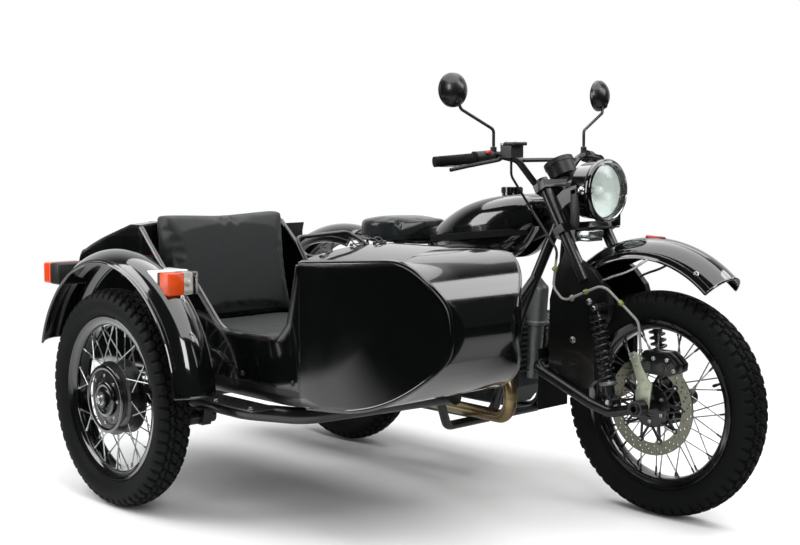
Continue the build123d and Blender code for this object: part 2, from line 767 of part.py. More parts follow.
# Tail lamp on a bracket above the rear mudguard
with BuildPart() as tail_lamp:
    with BuildSketch(side_plane(0)):
        with BuildLine():
            Polyline(
                (-400, 620), (-340, 640), (-340, 790), (-330, 824),
                (-440, 812), (-446, 760), (-400, 752), close=True,
            )
        make_face()
    extrude(amount=55, both=True)
    with BuildSketch(side_plane(0)):
        with Locations((0, axle_z)):
            Circle(rear_guard_radius + seat_gap)
    extrude(amount=120, both=True, mode=Mode.SUBTRACT)
keep("tail_lamp", Part() + tail_lamp.part.solids().sort_by(SortBy.VOLUME)[-1])

# Rear swing arm with final drive and axle
with BuildPart() as swingarm:
    pin((pivot_x, -106.5, 362), (pivot_x, 106.5, 362), 20)
    tube([(pivot_x, -80, 362), (250, -90, 354), (0, -96, axle_z)], 90, 36)
    tube([(pivot_x, 80, 362), (250, 90, 354), (0, 96, axle_z)], 90, 50)
    for side in (1, -1):
        stud_end = side * (rear_shock_y - 12 - seat_gap)
        foot_x, foot_z = rear_shock_foot
        pin((foot_x, side * 92, foot_z), (foot_x, stud_end, foot_z), 12)
    pin((0, 66, axle_z), (0, 138, axle_z), 88)
    pin((0, -86, axle_z), (0, -124, axle_z), 26)
    pin((0, -140, axle_z), (0, 140, axle_z), axle_radius)
keep("swingarm", swingarm.part)

rear_shock = []
for y in (-rear_shock_y, rear_shock_y):
    top = (rear_shock_top[0], y, rear_shock_top[1])
    foot = (rear_shock_foot[0], y, rear_shock_foot[1])
    rear_shock.append(make_shock(top, foot, 12, 23, 7))
both("rear_shocks", *rear_shock)


# Sidecar body: one hull common to a side, a plan and an end outline. Each corner is given with its
# outward direction, so the same outlines set in by the wall give the hollow.
side_corners = (
    (-300, floor_z, 0, -1), (780, floor_z, 0, -1), (1100, floor_z + 28, 0.08, -1), (1262, 442, 0.5, -0.85),
    (nose_x - 16, 545, 0.95, -0.3), (nose_x, 640, 1, 0), (nose_x - 30, 735, 0.9, 0.43),
    (nose_x - 84, 800, 0.6, 0.8), (1190, 842, 0, 1), (700, 920, 0, 1), (deck_x, deck_crest_z, -0.1, 1),
    (-300, 772, -0.28, 0.96), (-440, 690, -0.75, 0.66), (tail_x, 600, -1, 0),
    (-420, 450, -0.9, -0.3), (-380, 395, -0.6, -0.8),
)
plan_corners = (
    (0, body_half, 0, 1), (cowl_x - 40, body_half, 0, 1), (1170, 256, 0.3, 0.95),
    (nose_x - 42, nose_half, 0.8, 0.6), (nose_x + 14, 0, 1, 0), (tail_x, 200, -1, 0.3), (-300, 262, -0.1, 1),
)


def hull(inset, edge_z, crest_z):
    side = [(x - inset * out_x, z - inset * out_z) for x, z, out_x, out_z in side_corners]
    left = [(x - inset * out_x, body_y + y - inset * out_y) for x, y, out_x, out_y in plan_corners]
    right = [(x, 2 * body_y - y) for x, y in left]
    wide = body_half + 1 - inset
    base = floor_z + inset
    with BuildPart() as part:
        with BuildSketch(side_plane(0)):
            with BuildLine():
                Polyline(*side[0:3])
                ThreePointArc(side[2], side[3], side[4])
                ThreePointArc(side[4], side[5], side[6])
                ThreePointArc(side[6], side[7], side[8])
                Polyline(*side[8:12])
                ThreePointArc(side[11], side[12], side[13])
                Line(side[13], side[14])
                ThreePointArc(side[14], side[15], side[0])
            make_face()
        extrude(amount=1200)
        with BuildSketch(Plane.XY):
            with BuildLine():
                Line(right[0], right[1])
                ThreePointArc(right[1], right[2], right[3])
                ThreePointArc(right[3], right[4], left[3])
                ThreePointArc(left[3], left[2], left[1])
                Line(left[1], left[0])
                ThreePointArc(left[0], left[6], left[5])
                Line(left[5], right[5])
                ThreePointArc(right[5], right[6], right[0])
            make_face()
        extrude(amount=1200, mode=Mode.INTERSECT)
        with BuildSketch(Plane.YZ.offset(-800)):
            with BuildLine():
                edge = edge_z - inset
                Polyline(
                    (body_y - wide, edge), (body_y - wide, base), (body_y + wide, base), (body_y + wide, edge),
                )
                ThreePointArc((body_y + wide, edge), (body_y, crest_z - inset), (body_y - wide, edge))
            make_face()
            fillet(vertices().sort_by(Axis.Y)[:2], 50 - inset)
        extrude(amount=2600, mode=Mode.INTERSECT)
    return part.part


nose_outer = hull(0, cowl_edge_z, cowl_crest_z)
nose_inner = hull(wall, cowl_edge_z, cowl_crest_z)
rear_outer = hull(0, deck_edge_z, deck_crest_z)
rear_inner = hull(wall, deck_edge_z, deck_crest_z)


def slab(x0, x1, y0, y1, z0, z1):
    with BuildPart() as block:
        with BuildSketch(Plane.XY.offset(z0)):
            with Locations(((x0 + x1) / 2, (y0 + y1) / 2)):
                Rectangle(x1 - x0, y1 - y0)
        extrude(amount=z1 - z0)
    return block.part


pan_z = floor_z + 60.0

# Nose and cowl shell, open at the cockpit end
with BuildPart() as sidecar_nose:
    add(nose_outer)
    add(nose_inner, mode=Mode.SUBTRACT)
    add(slab(cowl_x, 1500, right_y - 10, left_y + 10, 0, 1200), mode=Mode.INTERSECT)
keep("sidecar_nose", sidecar_nose.part)

with BuildPart() as rear_shell:
    add(rear_outer)
    add(rear_inner, mode=Mode.SUBTRACT)

with BuildPart() as sidecar_floor:
    add(rear_shell.part)
    add(slab(deck_x, cowl_x, right_y - 10, left_y + 10, 0, pan_z), mode=Mode.INTERSECT)
    add(slab(210, 600, body_y - seat_half + 20, body_y + seat_half - 20, floor_z + 1, riser_z))
keep("sidecar_floor", sidecar_floor.part)

# Side panels, cut along the cockpit rim; the right one has the entry
rim_right = [
    (deck_x, deck_edge_z - 8), (246, 732), (398, step_rim_z), (560, entry_z),
    (838, entry_z), (884, 616), (cowl_x, 790),
]
rim_left = [(deck_x, deck_edge_z - 8), (246, left_rim_z), (860, left_rim_z), (cowl_x, 790)]


def make_side(rim, bends, side):
    # One side panel of the cockpit with its edge rolled round a wire.
    edge_y = body_y + side * (body_half - wall / 2)
    with BuildPart() as panel:
        add(rear_shell.part)
        with BuildSketch(side_plane(body_y)):
            with BuildLine():
                FilletPolyline(*rim, radius=bends)
                Polyline(rim[-1], (cowl_x, pan_z), (deck_x, pan_z), rim[0])
            make_face()
        extrude(amount=-side * 400, mode=Mode.INTERSECT)
        tube([(x, edge_y, z) for x, z in rim], bends, rolled_diameter)
        add(slab(deck_x, cowl_x, right_y - 40, left_y + 40, 0, 1200), mode=Mode.INTERSECT)
    return panel.part


keep("sidecar_side_right", make_side(rim_right, rim_bends_right, -1))
keep("sidecar_side_left", make_side(rim_left, rim_bends_left, 1))

# Tail with the trunk opening, and the bulkhead behind the seat
deck_slope = (deck_crest_z - 772) / (deck_x + 300)
lid_front = 30.0
lid_rear = -290.0
lid_half = 205.0


def deck_z(x):
    return 772 + (x + 300) * deck_slope


with BuildPart() as bulkhead:
    add(rear_outer)
    add(slab(deck_x - wall, deck_x, right_y - 10, left_y + 10, 0, 1200), mode=Mode.INTERSECT)

# Trunk hinge: barrels on the lid between knuckles on the deck, which hold the pin
hinge_x = lid_front + 7.0
hinge_z = deck_z(hinge_x) + 8.5
barrel_radius = 6.0
hinge_pin_radius = 3.0
barrel_half = 24.0
hinge_places = (body_y - 130.0, body_y + 130.0)

with BuildPart() as sidecar_tail:
    add(rear_shell.part)
    add(slab(tail_x - 10, deck_x, right_y - 10, left_y + 10, 0, 1200), mode=Mode.INTERSECT)
    hole_half = lid_half - 12
    hole = slab(lid_rear + 12, lid_front - 12, body_y - hole_half, body_y + hole_half, 600, 1200)
    add(hole, mode=Mode.SUBTRACT)
    add(bulkhead.part)
    for y in hinge_places:
        for side in (1, -1):
            near = y + side * (barrel_half + seat_gap)
            far = near + side * 14.0
            pin((hinge_x, near, hinge_z), (hinge_x, far, hinge_z), barrel_radius)
            add(slab(hinge_x - 3, hinge_x + 6, min(near, far), max(near, far), deck_z(hinge_x) - 3, hinge_z))
        reach = barrel_half + 14
        pin((hinge_x, y - reach, hinge_z), (hinge_x, y + reach, hinge_z), hinge_pin_radius)
keep("sidecar_tail", sidecar_tail.part)

# Trunk lid lying on the deck, hinged at its front edge
lid_thick = 10.0
lid_gap = 1.0
with BuildPart() as trunk_lid:
    with BuildSketch(side_plane(body_y)):
        with BuildLine():
            Polyline(
                (lid_front, deck_z(lid_front) + lid_gap),
                (lid_front, deck_z(lid_front) + lid_gap + lid_thick),
                (lid_rear + 10, deck_z(lid_rear + 10) + lid_gap + lid_thick),
                (lid_rear, deck_z(lid_rear) + lid_gap), close=True,
            )
        make_face()
    extrude(amount=lid_half, both=True)
    for y in hinge_places:
        ends = (hinge_x, y - barrel_half, hinge_z), (hinge_x, y + barrel_half, hinge_z)
        pin(*ends, barrel_radius)
        add(slab(lid_front - 6, hinge_x, y - barrel_half, y + barrel_half, hinge_z - 3, hinge_z + 1))
        pin(*ends, hinge_pin_radius + running_gap, Mode.SUBTRACT)
keep("trunk_lid", trunk_lid.part)

# Sidecar seat: cushion and backrest
with BuildPart() as sidecar_cushion:
    with BuildSketch(side_plane(body_y)):
        with BuildLine():
            Polyline(
                (200, riser_z + seat_gap), (620, riser_z + seat_gap), (620, 530),
                (250, 556), (200, 556), close=True,
            )
        make_face()
    extrude(amount=seat_half, both=True)
keep("sidecar_cushion", sidecar_cushion.part)

with BuildPart() as sidecar_backrest:
    with BuildSketch(side_plane(body_y)):
        with BuildLine():
            back_x = deck_x + seat_gap
            Polyline(
                (back_x, 556 + seat_gap), (250, 556 + seat_gap), (186, back_top_z), (back_x, back_top_z), close=True,
            )
        make_face()
    extrude(amount=back_half, both=True)
keep("sidecar_backrest", sidecar_backrest.part)

# Sidecar chassis rails and cross tubes
with BuildPart() as sidecar_frame:
    tube([(-160, rail_in_y, rail_z), (980, rail_in_y, rail_z)], 0, rail_diameter)
    outer_rail = [
        (-160, rail_out_y + 60, rail_z), (120, rail_out_y, rail_z),
        (700, rail_out_y, rail_z), (880, rail_out_y + 80, rail_z), (950, rail_in_y, rail_z),
    ]
    tube(outer_rail, [300, 200, 90], rail_diameter)
    for x, out_y in ((-140, rail_out_y + 62), (330, rail_out_y)):
        pin((x, rail_in_y, rail_z), (x, out_y, rail_z), rail_diameter / 2 - 2)
    stay_top = side_guard_z + side_guard_radius - side_guard_drop - seat_gap
    stay_y = side_guard_y + side_guard_half + 4
    stay = [
        (side_guard_x, rail_out_y, rail_z), (side_guard_x, rail_out_y - 8, 560),
        (side_guard_x, stay_y, 650), (side_guard_x, stay_y, stay_top),
    ]
    tube(stay, [60, 40], 16)
    pin((470, rail_out_y + 42, 300), (470, arm_y - 10, 300), 24)
    with BuildSketch(side_plane(rail_out_y)):
        with BuildLine():
            Polyline((430, rail_z), (520, rail_z), (500, 276), (446, 276), close=True)
        make_face()
    extrude(amount=16, both=True)
keep("sidecar_frame", sidecar_frame.part)

# Struts that tie the sidecar to the machine
with BuildPart() as sidecar_struts:
    tube([(850, -116, 222), (850, -310, 222), (900, rail_in_y, rail_z)], 40, 30)
    tube([(450, -123, 222), (450, -310, 222), (380, rail_in_y, rail_z)], 40, 30)
    pin((head_x - 54, -80, 700), (960, rail_in_y, rail_z), 12)
    pin((320, -106, 690), (150, rail_in_y, rail_z), 12)
    for hide in (main_frame.part, sidecar_frame.part, pieces["exhausts"]):
        add(hide, mode=Mode.SUBTRACT)
keep("sidecar_struts", sidecar_struts.part)

# Sidecar wheel's arm with stub axle and cap
with BuildPart() as sidecar_arm:
    tube([(470, arm_y, 300), (330, arm_y, 300), (sidecar_lead, arm_y, axle_z)], 80, 30)
    pin((sidecar_lead, arm_y + 16, axle_z), (sidecar_lead, arm_y - 42, axle_z), 30)
    pin((sidecar_lead, arm_y - 10, axle_z), (sidecar_lead, -track - 54, axle_z), axle_radius)
    pin((sidecar_lead, -track - 53, axle_z), (sidecar_lead, -track - 66, axle_z), 26)
    add(sidecar_frame.part, mode=Mode.SUBTRACT)
keep("sidecar_arm", Part() + sidecar_arm.part.solids().sort_by(SortBy.VOLUME)[-1])

side_guard_middle = (side_guard_x, side_guard_y, side_guard_z)
side_guard = make_guard(side_guard_middle, side_guard_radius, side_guard_half, side_guard_drop, 4, 160)
keep("sidecar_mudguard", side_guard)


def lamp_box(x0, x1, z0, z1):
    with BuildPart() as box:
        add(slab(x0, x1, side_guard_y - 63, side_guard_y + 83, z0, z1))
        add(side_guard, mode=Mode.SUBTRACT)
        with BuildSketch(side_plane(0)):
            with Locations((side_guard_x, side_guard_z)):
                Circle(side_guard_radius - 1)
        extrude(amount=1300, mode=Mode.SUBTRACT)
    return Part() + box.part.solids().sort_by(SortBy.VOLUME)[-1]


both("side_lamps", lamp_box(430, 552, 684, 758), lamp_box(-170, -40, 668, 740))

# Perforated step beside the entry
with BuildPart() as footstep:
    with BuildSketch(Plane.XY.offset(rail_z + rail_diameter / 2 + seat_gap)):
        with Locations((640, rail_out_y - 28)):
            RectangleRounded(400, 96, 16)
    extrude(amount=5)
keep("footstep", footstep.part)

# Grab rail across the cowl
with BuildPart() as grab_rail:
    hoop = [
        (cowl_x + 16, body_y - 268, 796), (cowl_x - 42, body_y - 264, 866),
        (cowl_x - 42, body_y - 70, 874), (cowl_x + 20, body_y - 22, 822),
    ]
    tube(hoop, [22, 40], 12)
    add(nose_outer, mode=Mode.SUBTRACT)
keep("grab_rail", Part() + grab_rail.part.solids().sort_by(SortBy.VOLUME)[-1])

os.makedirs("parts", exist_ok=True)
low = Vector(1e9, 1e9, 1e9)
high = Vector(-1e9, -1e9, -1e9)
for part in pieces.values():
    box = part.bounding_box()
    low = Vector(min(low.X, box.min.X), min(low.Y, box.min.Y), min(low.Z, box.min.Z))
    high = Vector(max(high.X, box.max.X), max(high.Y, box.max.Y), max(high.Z, box.max.Z))
shift = Vector(-(low.X + high.X) / 2, -(low.Y + high.Y) / 2, -low.Z)
for name, part in pieces.items():
    moved = part.moved(Location(shift))
    moved.label = name
    export_step(moved, f"parts/{name}.step")
print("shift", shift, "size", high - low)
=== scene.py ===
import json
import math

import bmesh
import bpy
import numpy as np
from mathutils import Matrix, Vector
from mathutils.bvhtree import BVHTree

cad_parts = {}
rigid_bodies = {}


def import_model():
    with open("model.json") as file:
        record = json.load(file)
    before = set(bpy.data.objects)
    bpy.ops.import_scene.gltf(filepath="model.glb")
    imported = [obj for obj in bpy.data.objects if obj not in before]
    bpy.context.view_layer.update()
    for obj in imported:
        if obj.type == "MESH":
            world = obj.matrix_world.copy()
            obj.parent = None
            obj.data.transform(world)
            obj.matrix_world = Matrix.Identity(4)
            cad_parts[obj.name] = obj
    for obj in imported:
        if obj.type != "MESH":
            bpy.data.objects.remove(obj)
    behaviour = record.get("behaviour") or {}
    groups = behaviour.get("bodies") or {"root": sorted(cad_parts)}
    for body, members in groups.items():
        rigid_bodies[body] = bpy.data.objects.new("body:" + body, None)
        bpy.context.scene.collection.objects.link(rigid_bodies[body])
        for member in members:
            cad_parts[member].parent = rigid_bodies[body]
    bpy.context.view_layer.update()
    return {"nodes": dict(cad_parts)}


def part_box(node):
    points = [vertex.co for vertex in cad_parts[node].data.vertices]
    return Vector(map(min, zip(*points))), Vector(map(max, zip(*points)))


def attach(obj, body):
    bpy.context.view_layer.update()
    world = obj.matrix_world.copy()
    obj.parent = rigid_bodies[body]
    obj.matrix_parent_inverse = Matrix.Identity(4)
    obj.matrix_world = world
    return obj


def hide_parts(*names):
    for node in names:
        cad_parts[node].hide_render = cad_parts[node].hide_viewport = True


for old in list(bpy.data.objects):
    bpy.data.objects.remove(old)
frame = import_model()
nodes = frame["nodes"]

# Places are given in mm from the ground below the rear wheel's middle: X ahead, Y left, Z up
rearLow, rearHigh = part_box("rear_tyre")
rearX = (rearLow.x + rearHigh.x) / 2
rearY = (rearLow.y + rearHigh.y) / 2
bothSides = (-1, 1)  # right, left
across = (0, 1, 0)


def spot(x, y, z):
    return Vector((x / 1000 + rearX, y / 1000 + rearY, z / 1000))


def srgb(code, alpha=1.0):
    parts = [int(code[i:i + 2], 16) / 255 for i in (1, 3, 5)]
    return tuple(c / 12.92 if c <= 0.04045 else ((c + 0.055) / 1.055) ** 2.4 for c in parts) + (alpha,)


def put(tree, kind, settings=None, links=None):
    # adds a node, sets its own values and input defaults, and links its inputs
    made = tree.nodes.new(kind)
    for key, value in (settings or {}).items():
        if isinstance(key, str) and hasattr(made, key):
            setattr(made, key, value)
        else:
            made.inputs[key].default_value = value
    for key, source in (links or {}).items():
        tree.links.new(source, made.inputs[key])
    return made


def newMaterial(name):
    # an empty material, its node tree and the object's own coordinates
    made = bpy.data.materials.new(name)
    made.use_nodes = True
    tree = made.node_tree
    tree.nodes.clear()
    return made, tree, put(tree, "ShaderNodeTexCoord").outputs["Object"]


def perMetre(mm):
    return 1000 / mm


noiseSpan = {"From Min": 0.3, "From Max": 0.7}  # where most of a noise's values lie
bandWidth = 0.314  # the wave texture's own band in metres at scale 1


# Black stove enamel on pressed steel: deep gloss under clear lacquer, softened edges, and a faint orange peel
# that is drawn coarse so that it shows
def stoveEnamel(name, tint, rough, coat, edgeMm):
    made, tree, place = newMaterial(name)
    peel = put(tree, "ShaderNodeTexNoise", {"Scale": perMetre(7.0), "Detail": 1.0}, {"Vector": place})
    dust = put(tree, "ShaderNodeTexNoise", {"Scale": perMetre(70.0), "Detail": 4.0}, {"Vector": place})
    edge = put(tree, "ShaderNodeBevel", {"samples": 4, "Radius": edgeMm / 1000})
    bump = put(tree, "ShaderNodeBump", {"Strength": 0.035, "Distance": 0.001},
               {"Height": peel.outputs[0], "Normal": edge.outputs[0]})
    gloss = put(tree, "ShaderNodeMapRange", {**noiseSpan, "To Min": rough, "To Max": rough + 0.07},
                {"Value": dust.outputs[0]})
    shader = put(tree, "ShaderNodeBsdfPrincipled",
                 {"Base Color": srgb(tint), "IOR": 1.5, "Coat Weight": coat, "Coat Roughness": 0.02},
                 {"Roughness": gloss.outputs[0], "Normal": bump.outputs[0]})
    put(tree, "ShaderNodeOutputMaterial", None, {"Surface": shader.outputs[0]})
    return made


# Carbon-black tyre rubber, moulded: dull, slightly grey where it has been handled
def mouldedRubber(name, tint, worn, grainMm):
    made, tree, place = newMaterial(name)
    grain = put(tree, "ShaderNodeTexNoise", {"Scale": perMetre(grainMm), "Detail": 5.0}, {"Vector": place})
    patch = put(tree, "ShaderNodeTexNoise", {"Scale": perMetre(90.0), "Detail": 3.0}, {"Vector": place})
    colour = put(tree, "ShaderNodeMix", {"data_type": "RGBA", "A": srgb(tint), "B": srgb(worn)},
                 {"Factor": patch.outputs[0]})
    dull = put(tree, "ShaderNodeMapRange", {**noiseSpan, "To Min": 0.55, "To Max": 0.75},
               {"Value": grain.outputs[0]})
    bump = put(tree, "ShaderNodeBump", {"Strength": 0.18, "Distance": 0.0006}, {"Height": grain.outputs[0]})
    shader = put(tree, "ShaderNodeBsdfPrincipled", {"IOR": 1.52, "Specular IOR Level": 0.12},
                 {"Base Color": colour.outputs["Result"], "Roughness": dull.outputs[0], "Normal": bump.outputs[0]})
    put(tree, "ShaderNodeOutputMaterial", None, {"Surface": shader.outputs[0]})
    return made


# Plated, machined or cast metal: fine grain in roughness and bump, colour breaks up a little
def metalSkin(name, tint, second, rough, grainMm, relief, metallic=1.0):
    made, tree, place = newMaterial(name)
    grain = put(tree, "ShaderNodeTexNoise", {"Scale": perMetre(grainMm), "Detail": 4.0}, {"Vector": place})
    patch = put(tree, "ShaderNodeTexNoise", {"Scale": perMetre(25.0), "Detail": 3.0}, {"Vector": place})
    colour = put(tree, "ShaderNodeMix", {"data_type": "RGBA", "A": srgb(tint), "B": srgb(second)},
                 {"Factor": patch.outputs[0]})
    polish = put(tree, "ShaderNodeMapRange", {**noiseSpan, "To Min": rough * 0.8, "To Max": rough * 1.25},
                 {"Value": grain.outputs[0]})
    edge = put(tree, "ShaderNodeBevel", {"samples": 4, "Radius": 0.001})
    bump = put(tree, "ShaderNodeBump", {"Strength": relief, "Distance": 0.0005},
               {"Height": grain.outputs[0], "Normal": edge.outputs[0]})
    shader = put(tree, "ShaderNodeBsdfPrincipled", {"Metallic": metallic},
                 {"Base Color": colour.outputs["Result"], "Roughness": polish.outputs[0], "Normal": bump.outputs[0]})
    put(tree, "ShaderNodeOutputMaterial", None, {"Surface": shader.outputs[0]})
    return made


# Injection-moulded ABS with a spark-eroded texture: satin, the edges a little rounded
def mouldedPlastic(name, tint, rough, grainMm):
    made, tree, place = newMaterial(name)
    grain = put(tree, "ShaderNodeTexNoise", {"Scale": perMetre(grainMm), "Detail": 3.0}, {"Vector": place})
    edge = put(tree, "ShaderNodeBevel", {"samples": 4, "Radius": 0.0015})
    bump = put(tree, "ShaderNodeBump", {"Strength": 0.12, "Distance": 0.0004},
               {"Height": grain.outputs[0], "Normal": edge.outputs[0]})
    polish = put(tree, "ShaderNodeMapRange", {**noiseSpan, "To Min": rough - 0.06, "To Max": rough + 0.08},
                 {"Value": grain.outputs[0]})
    shader = put(tree, "ShaderNodeBsdfPrincipled", {"Base Color": srgb(tint), "IOR": 1.49},
                 {"Roughness": polish.outputs[0], "Normal": bump.outputs[0]})
    put(tree, "ShaderNodeOutputMaterial", None, {"Surface": shader.outputs[0]})
    return made


# Extruded hose sheath, PVC: black above a height in mm, a grey sleeve below it, both with a low shine
def twoToneSheath(name, upper, lower, changeMm, blendMm):
    made, tree, place = newMaterial(name)
    height = put(tree, "ShaderNodeSeparateXYZ", None, {"Vector": place})
    share = put(tree, "ShaderNodeMapRange", {"From Min": (changeMm - blendMm) / 1000,
                                             "From Max": (changeMm + blendMm) / 1000}, {"Value": height.outputs["Z"]})
    colour = put(tree, "ShaderNodeMix", {"data_type": "RGBA", "A": srgb(lower), "B": srgb(upper)},
                 {"Factor": share.outputs[0]})
    grain = put(tree, "ShaderNodeTexNoise", {"Scale": perMetre(1.5), "Detail": 3.0}, {"Vector": place})
    polish = put(tree, "ShaderNodeMapRange", {**noiseSpan, "To Min": 0.24, "To Max": 0.38},
                 {"Value": grain.outputs[0]})
    shader = put(tree, "ShaderNodeBsdfPrincipled", {"IOR": 1.5},
                 {"Base Color": colour.outputs["Result"], "Roughness": polish.outputs[0]})
    put(tree, "ShaderNodeOutputMaterial", None, {"Surface": shader.outputs[0]})
    return made


# Calendered vinyl over foam: leather grain of cells drawn coarse so that they show, satin sheen
def grainedVinyl(name, tint, cellMm, rough, relief):
    made, tree, place = newMaterial(name)
    cells = put(tree, "ShaderNodeTexVoronoi", {"feature": "DISTANCE_TO_EDGE", "Scale": perMetre(cellMm)},
                {"Vector": place})
    soft = put(tree, "ShaderNodeTexNoise", {"Scale": perMetre(45.0), "Detail": 3.0}, {"Vector": place})
    polish = put(tree, "ShaderNodeMapRange", {**noiseSpan, "To Min": rough - 0.05, "To Max": rough + 0.1},
                 {"Value": soft.outputs[0]})
    bump = put(tree, "ShaderNodeBump", {"Strength": relief, "Distance": 0.0006}, {"Height": cells.outputs["Distance"]})
    shader = put(tree, "ShaderNodeBsdfPrincipled", {"Base Color": srgb(tint), "IOR": 1.46, "Sheen Weight": 0.08},
                 {"Roughness": polish.outputs[0], "Normal": bump.outputs[0]})
    put(tree, "ShaderNodeOutputMaterial", None, {"Surface": shader.outputs[0]})
    return made


# Moulded acrylic lens: tinted, with fine ribs across its face that break up what is behind
def ribbedLens(name, tint, clear):
    made, tree, place = newMaterial(name)
    ribs = put(tree, "ShaderNodeTexWave", {"wave_type": "BANDS", "bands_direction": "Z", "wave_profile": "SIN",
                                           "Scale": perMetre(4.0) * bandWidth}, {"Vector": place})
    bump = put(tree, "ShaderNodeBump", {"Strength": 0.4, "Distance": 0.001}, {"Height": ribs.outputs[0]})
    shader = put(tree, "ShaderNodeBsdfPrincipled",
                 {"Base Color": srgb(tint), "IOR": 1.49, "Transmission Weight": clear, "Roughness": 0.08},
                 {"Normal": bump.outputs[0]})
    put(tree, "ShaderNodeOutputMaterial", None, {"Surface": shader.outputs[0]})
    return made


# Thin pressed glass: lets the light straight in and mirrors a little, more at a slant, with flutes across it
def thinGlass(name, ribMm, relief):
    made, tree, place = newMaterial(name)
    ribs = put(tree, "ShaderNodeTexWave", {"wave_type": "BANDS", "bands_direction": "Y", "wave_profile": "SIN",
                                           "Scale": perMetre(ribMm) * bandWidth}, {"Vector": place})
    bump = put(tree, "ShaderNodeBump", {"Strength": relief, "Distance": 0.002}, {"Height": ribs.outputs[0]})
    slant = put(tree, "ShaderNodeLayerWeight", {"Blend": 0.5}, {"Normal": bump.outputs[0]})
    steep = put(tree, "ShaderNodeMath", {"operation": "POWER", 1: 4.0}, {0: slant.outputs["Facing"]})
    rim = put(tree, "ShaderNodeMapRange", {"To Min": 0.04, "To Max": 0.7}, {"Value": steep.outputs[0]})
    clear = put(tree, "ShaderNodeBsdfTransparent", {"Color": srgb("#F6F9F8")})
    bent = put(tree, "ShaderNodeBsdfRefraction", {"Color": srgb("#FFFFFF"), "IOR": 1.12, "Roughness": 0.0},
               {"Normal": bump.outputs[0]})
    shine = put(tree, "ShaderNodeBsdfGlossy", {"Color": srgb("#FFFFFF"), "Roughness": 0.02},
                {"Normal": bump.outputs[0]})
    through = put(tree, "ShaderNodeMixShader", {0: 0.08}, {1: clear.outputs[0], 2: bent.outputs[0]})
    both = put(tree, "ShaderNodeMixShader", None, {0: rim.outputs[0], 1: through.outputs[0], 2: shine.outputs[0]})
    put(tree, "ShaderNodeOutputMaterial", None, {"Surface": both.outputs[0]})
    return made


headerTints = {"x": (640, 1140), "smear": 0.16,
               "stops": ((0.0, "#8A8D8B"), (0.35, "#B3AB96"), (0.6, "#B7A67E"), (0.8, "#8D7652"), (1.0, "#877657"))}


# Stainless header, coloured by heat: brown near the head, straw and then grey further back
def heatedSteel(name):
    made, tree, place = newMaterial(name)
    along = put(tree, "ShaderNodeSeparateXYZ", None, {"Vector": place})
    smear = put(tree, "ShaderNodeTexNoise", {"Scale": perMetre(60.0), "Detail": 3.0}, {"Vector": place})
    mixed = put(tree, "ShaderNodeMath", {"operation": "MULTIPLY_ADD", 1: headerTints["smear"]},
                {0: smear.outputs[0], 2: along.outputs["X"]})
    back, front = (spot(x, 0, 0).x for x in headerTints["x"])
    share = put(tree, "ShaderNodeMapRange", {"From Min": back, "From Max": front}, {"Value": mixed.outputs[0]})
    ramp = put(tree, "ShaderNodeValToRGB", None, {"Fac": share.outputs[0]})
    bands = ramp.color_ramp.elements
    while len(bands) < len(headerTints["stops"]):
        bands.new(0.5)
    for band, (at, code) in zip(bands, headerTints["stops"]):
        band.position = at
        band.color = srgb(code)
    grain = put(tree, "ShaderNodeTexNoise", {"Scale": perMetre(3.0), "Detail": 4.0}, {"Vector": place})
    polish = put(tree, "ShaderNodeMapRange", {**noiseSpan, "To Min": 0.22, "To Max": 0.38},
                 {"Value": grain.outputs[0]})
    shader = put(tree, "ShaderNodeBsdfPrincipled", {"Metallic": 1.0},
                 {"Base Color": ramp.outputs[0], "Roughness": polish.outputs[0]})
    put(tree, "ShaderNodeOutputMaterial", None, {"Surface": shader.outputs[0]})
    return made


blackGloss = stoveEnamel("stove_enamel_black", "#060707", rough=0.07, coat=1.0, edgeMm=2.0)
bodyGloss = stoveEnamel("body_enamel_black", "#060707", rough=0.07, coat=1.0, edgeMm=14.0)
chassisBlack = stoveEnamel("chassis_enamel_black", "#090A0A", rough=0.28, coat=0.3, edgeMm=2.0)
tyreBlack = mouldedRubber("tyre_rubber_moulded", "#08090A", "#101112", grainMm=2.2)
softRubber = mouldedRubber("grip_rubber_moulded", "#0C0D0E", "#131415", grainMm=1.2)
zincPlate = metalSkin("zinc_plated_steel", "#C4C8C4", "#A9AFAD", rough=0.26, grainMm=2.0, relief=0.05)
zincGreen = metalSkin("zinc_chromate_plate", "#CDD2BE", "#B5BBA4", rough=0.42, grainMm=3.0, relief=0.1, metallic=0.75)
clipGreen = metalSkin("zinc_dichromate_clip", "#8C9440", "#6F7A2C", rough=0.4, grainMm=2.0, relief=0.08, metallic=0.6)
discSteel = metalSkin("ground_disc_steel", "#8F8F82", "#7D7C6E", rough=0.34, grainMm=2.5, relief=0.06)
castAlloy = metalSkin("sand_cast_aluminium", "#8D9190", "#777C7C", rough=0.5, grainMm=1.6, relief=0.3, metallic=0.85)
# a darker tone of the same cast alloy, on the crankcase, carburettors, engine fins and the front spoke nipples
darkAlloy = metalSkin("cast_alloy_dark_tone", "#4E5252", "#3A3D3D", rough=0.52, grainMm=1.6, relief=0.3, metallic=0.8)
brightChrome = metalSkin("decorative_chrome", "#DFE2E3", "#CFD3D4", rough=0.05, grainMm=4.0, relief=0.0)
reflector = metalSkin("vapour_coated_reflector", "#F8FAF8", "#F2F4F2", rough=0.25, grainMm=6.0, relief=0.04,
                      metallic=0.05)
mirrorGlass = metalSkin("silvered_mirror_glass", "#B9C2C8", "#B4BDC3", rough=0.012, grainMm=40.0, relief=0.0)
headerSteel = heatedSteel("stainless_header_heat_tinted")
blackPlastic = mouldedPlastic("abs_black_moulded", "#0D0E0F", rough=0.42, grainMm=1.0)
redPlastic = mouldedPlastic("abs_red_moulded", "#B0201A", rough=0.3, grainMm=1.0)
# pale grey that stands in for the bright reflection on the front marker lamp's housing: a painted reflection
paleGreyPaintedReflection = mouldedPlastic("pale_grey_painted_reflection", "#D9DCDC", rough=0.16, grainMm=1.0)
hosePlastic = twoToneSheath("hose_sheath_pvc", "#0D0E0F", "#7C7D78", changeMm=770, blendMm=6)
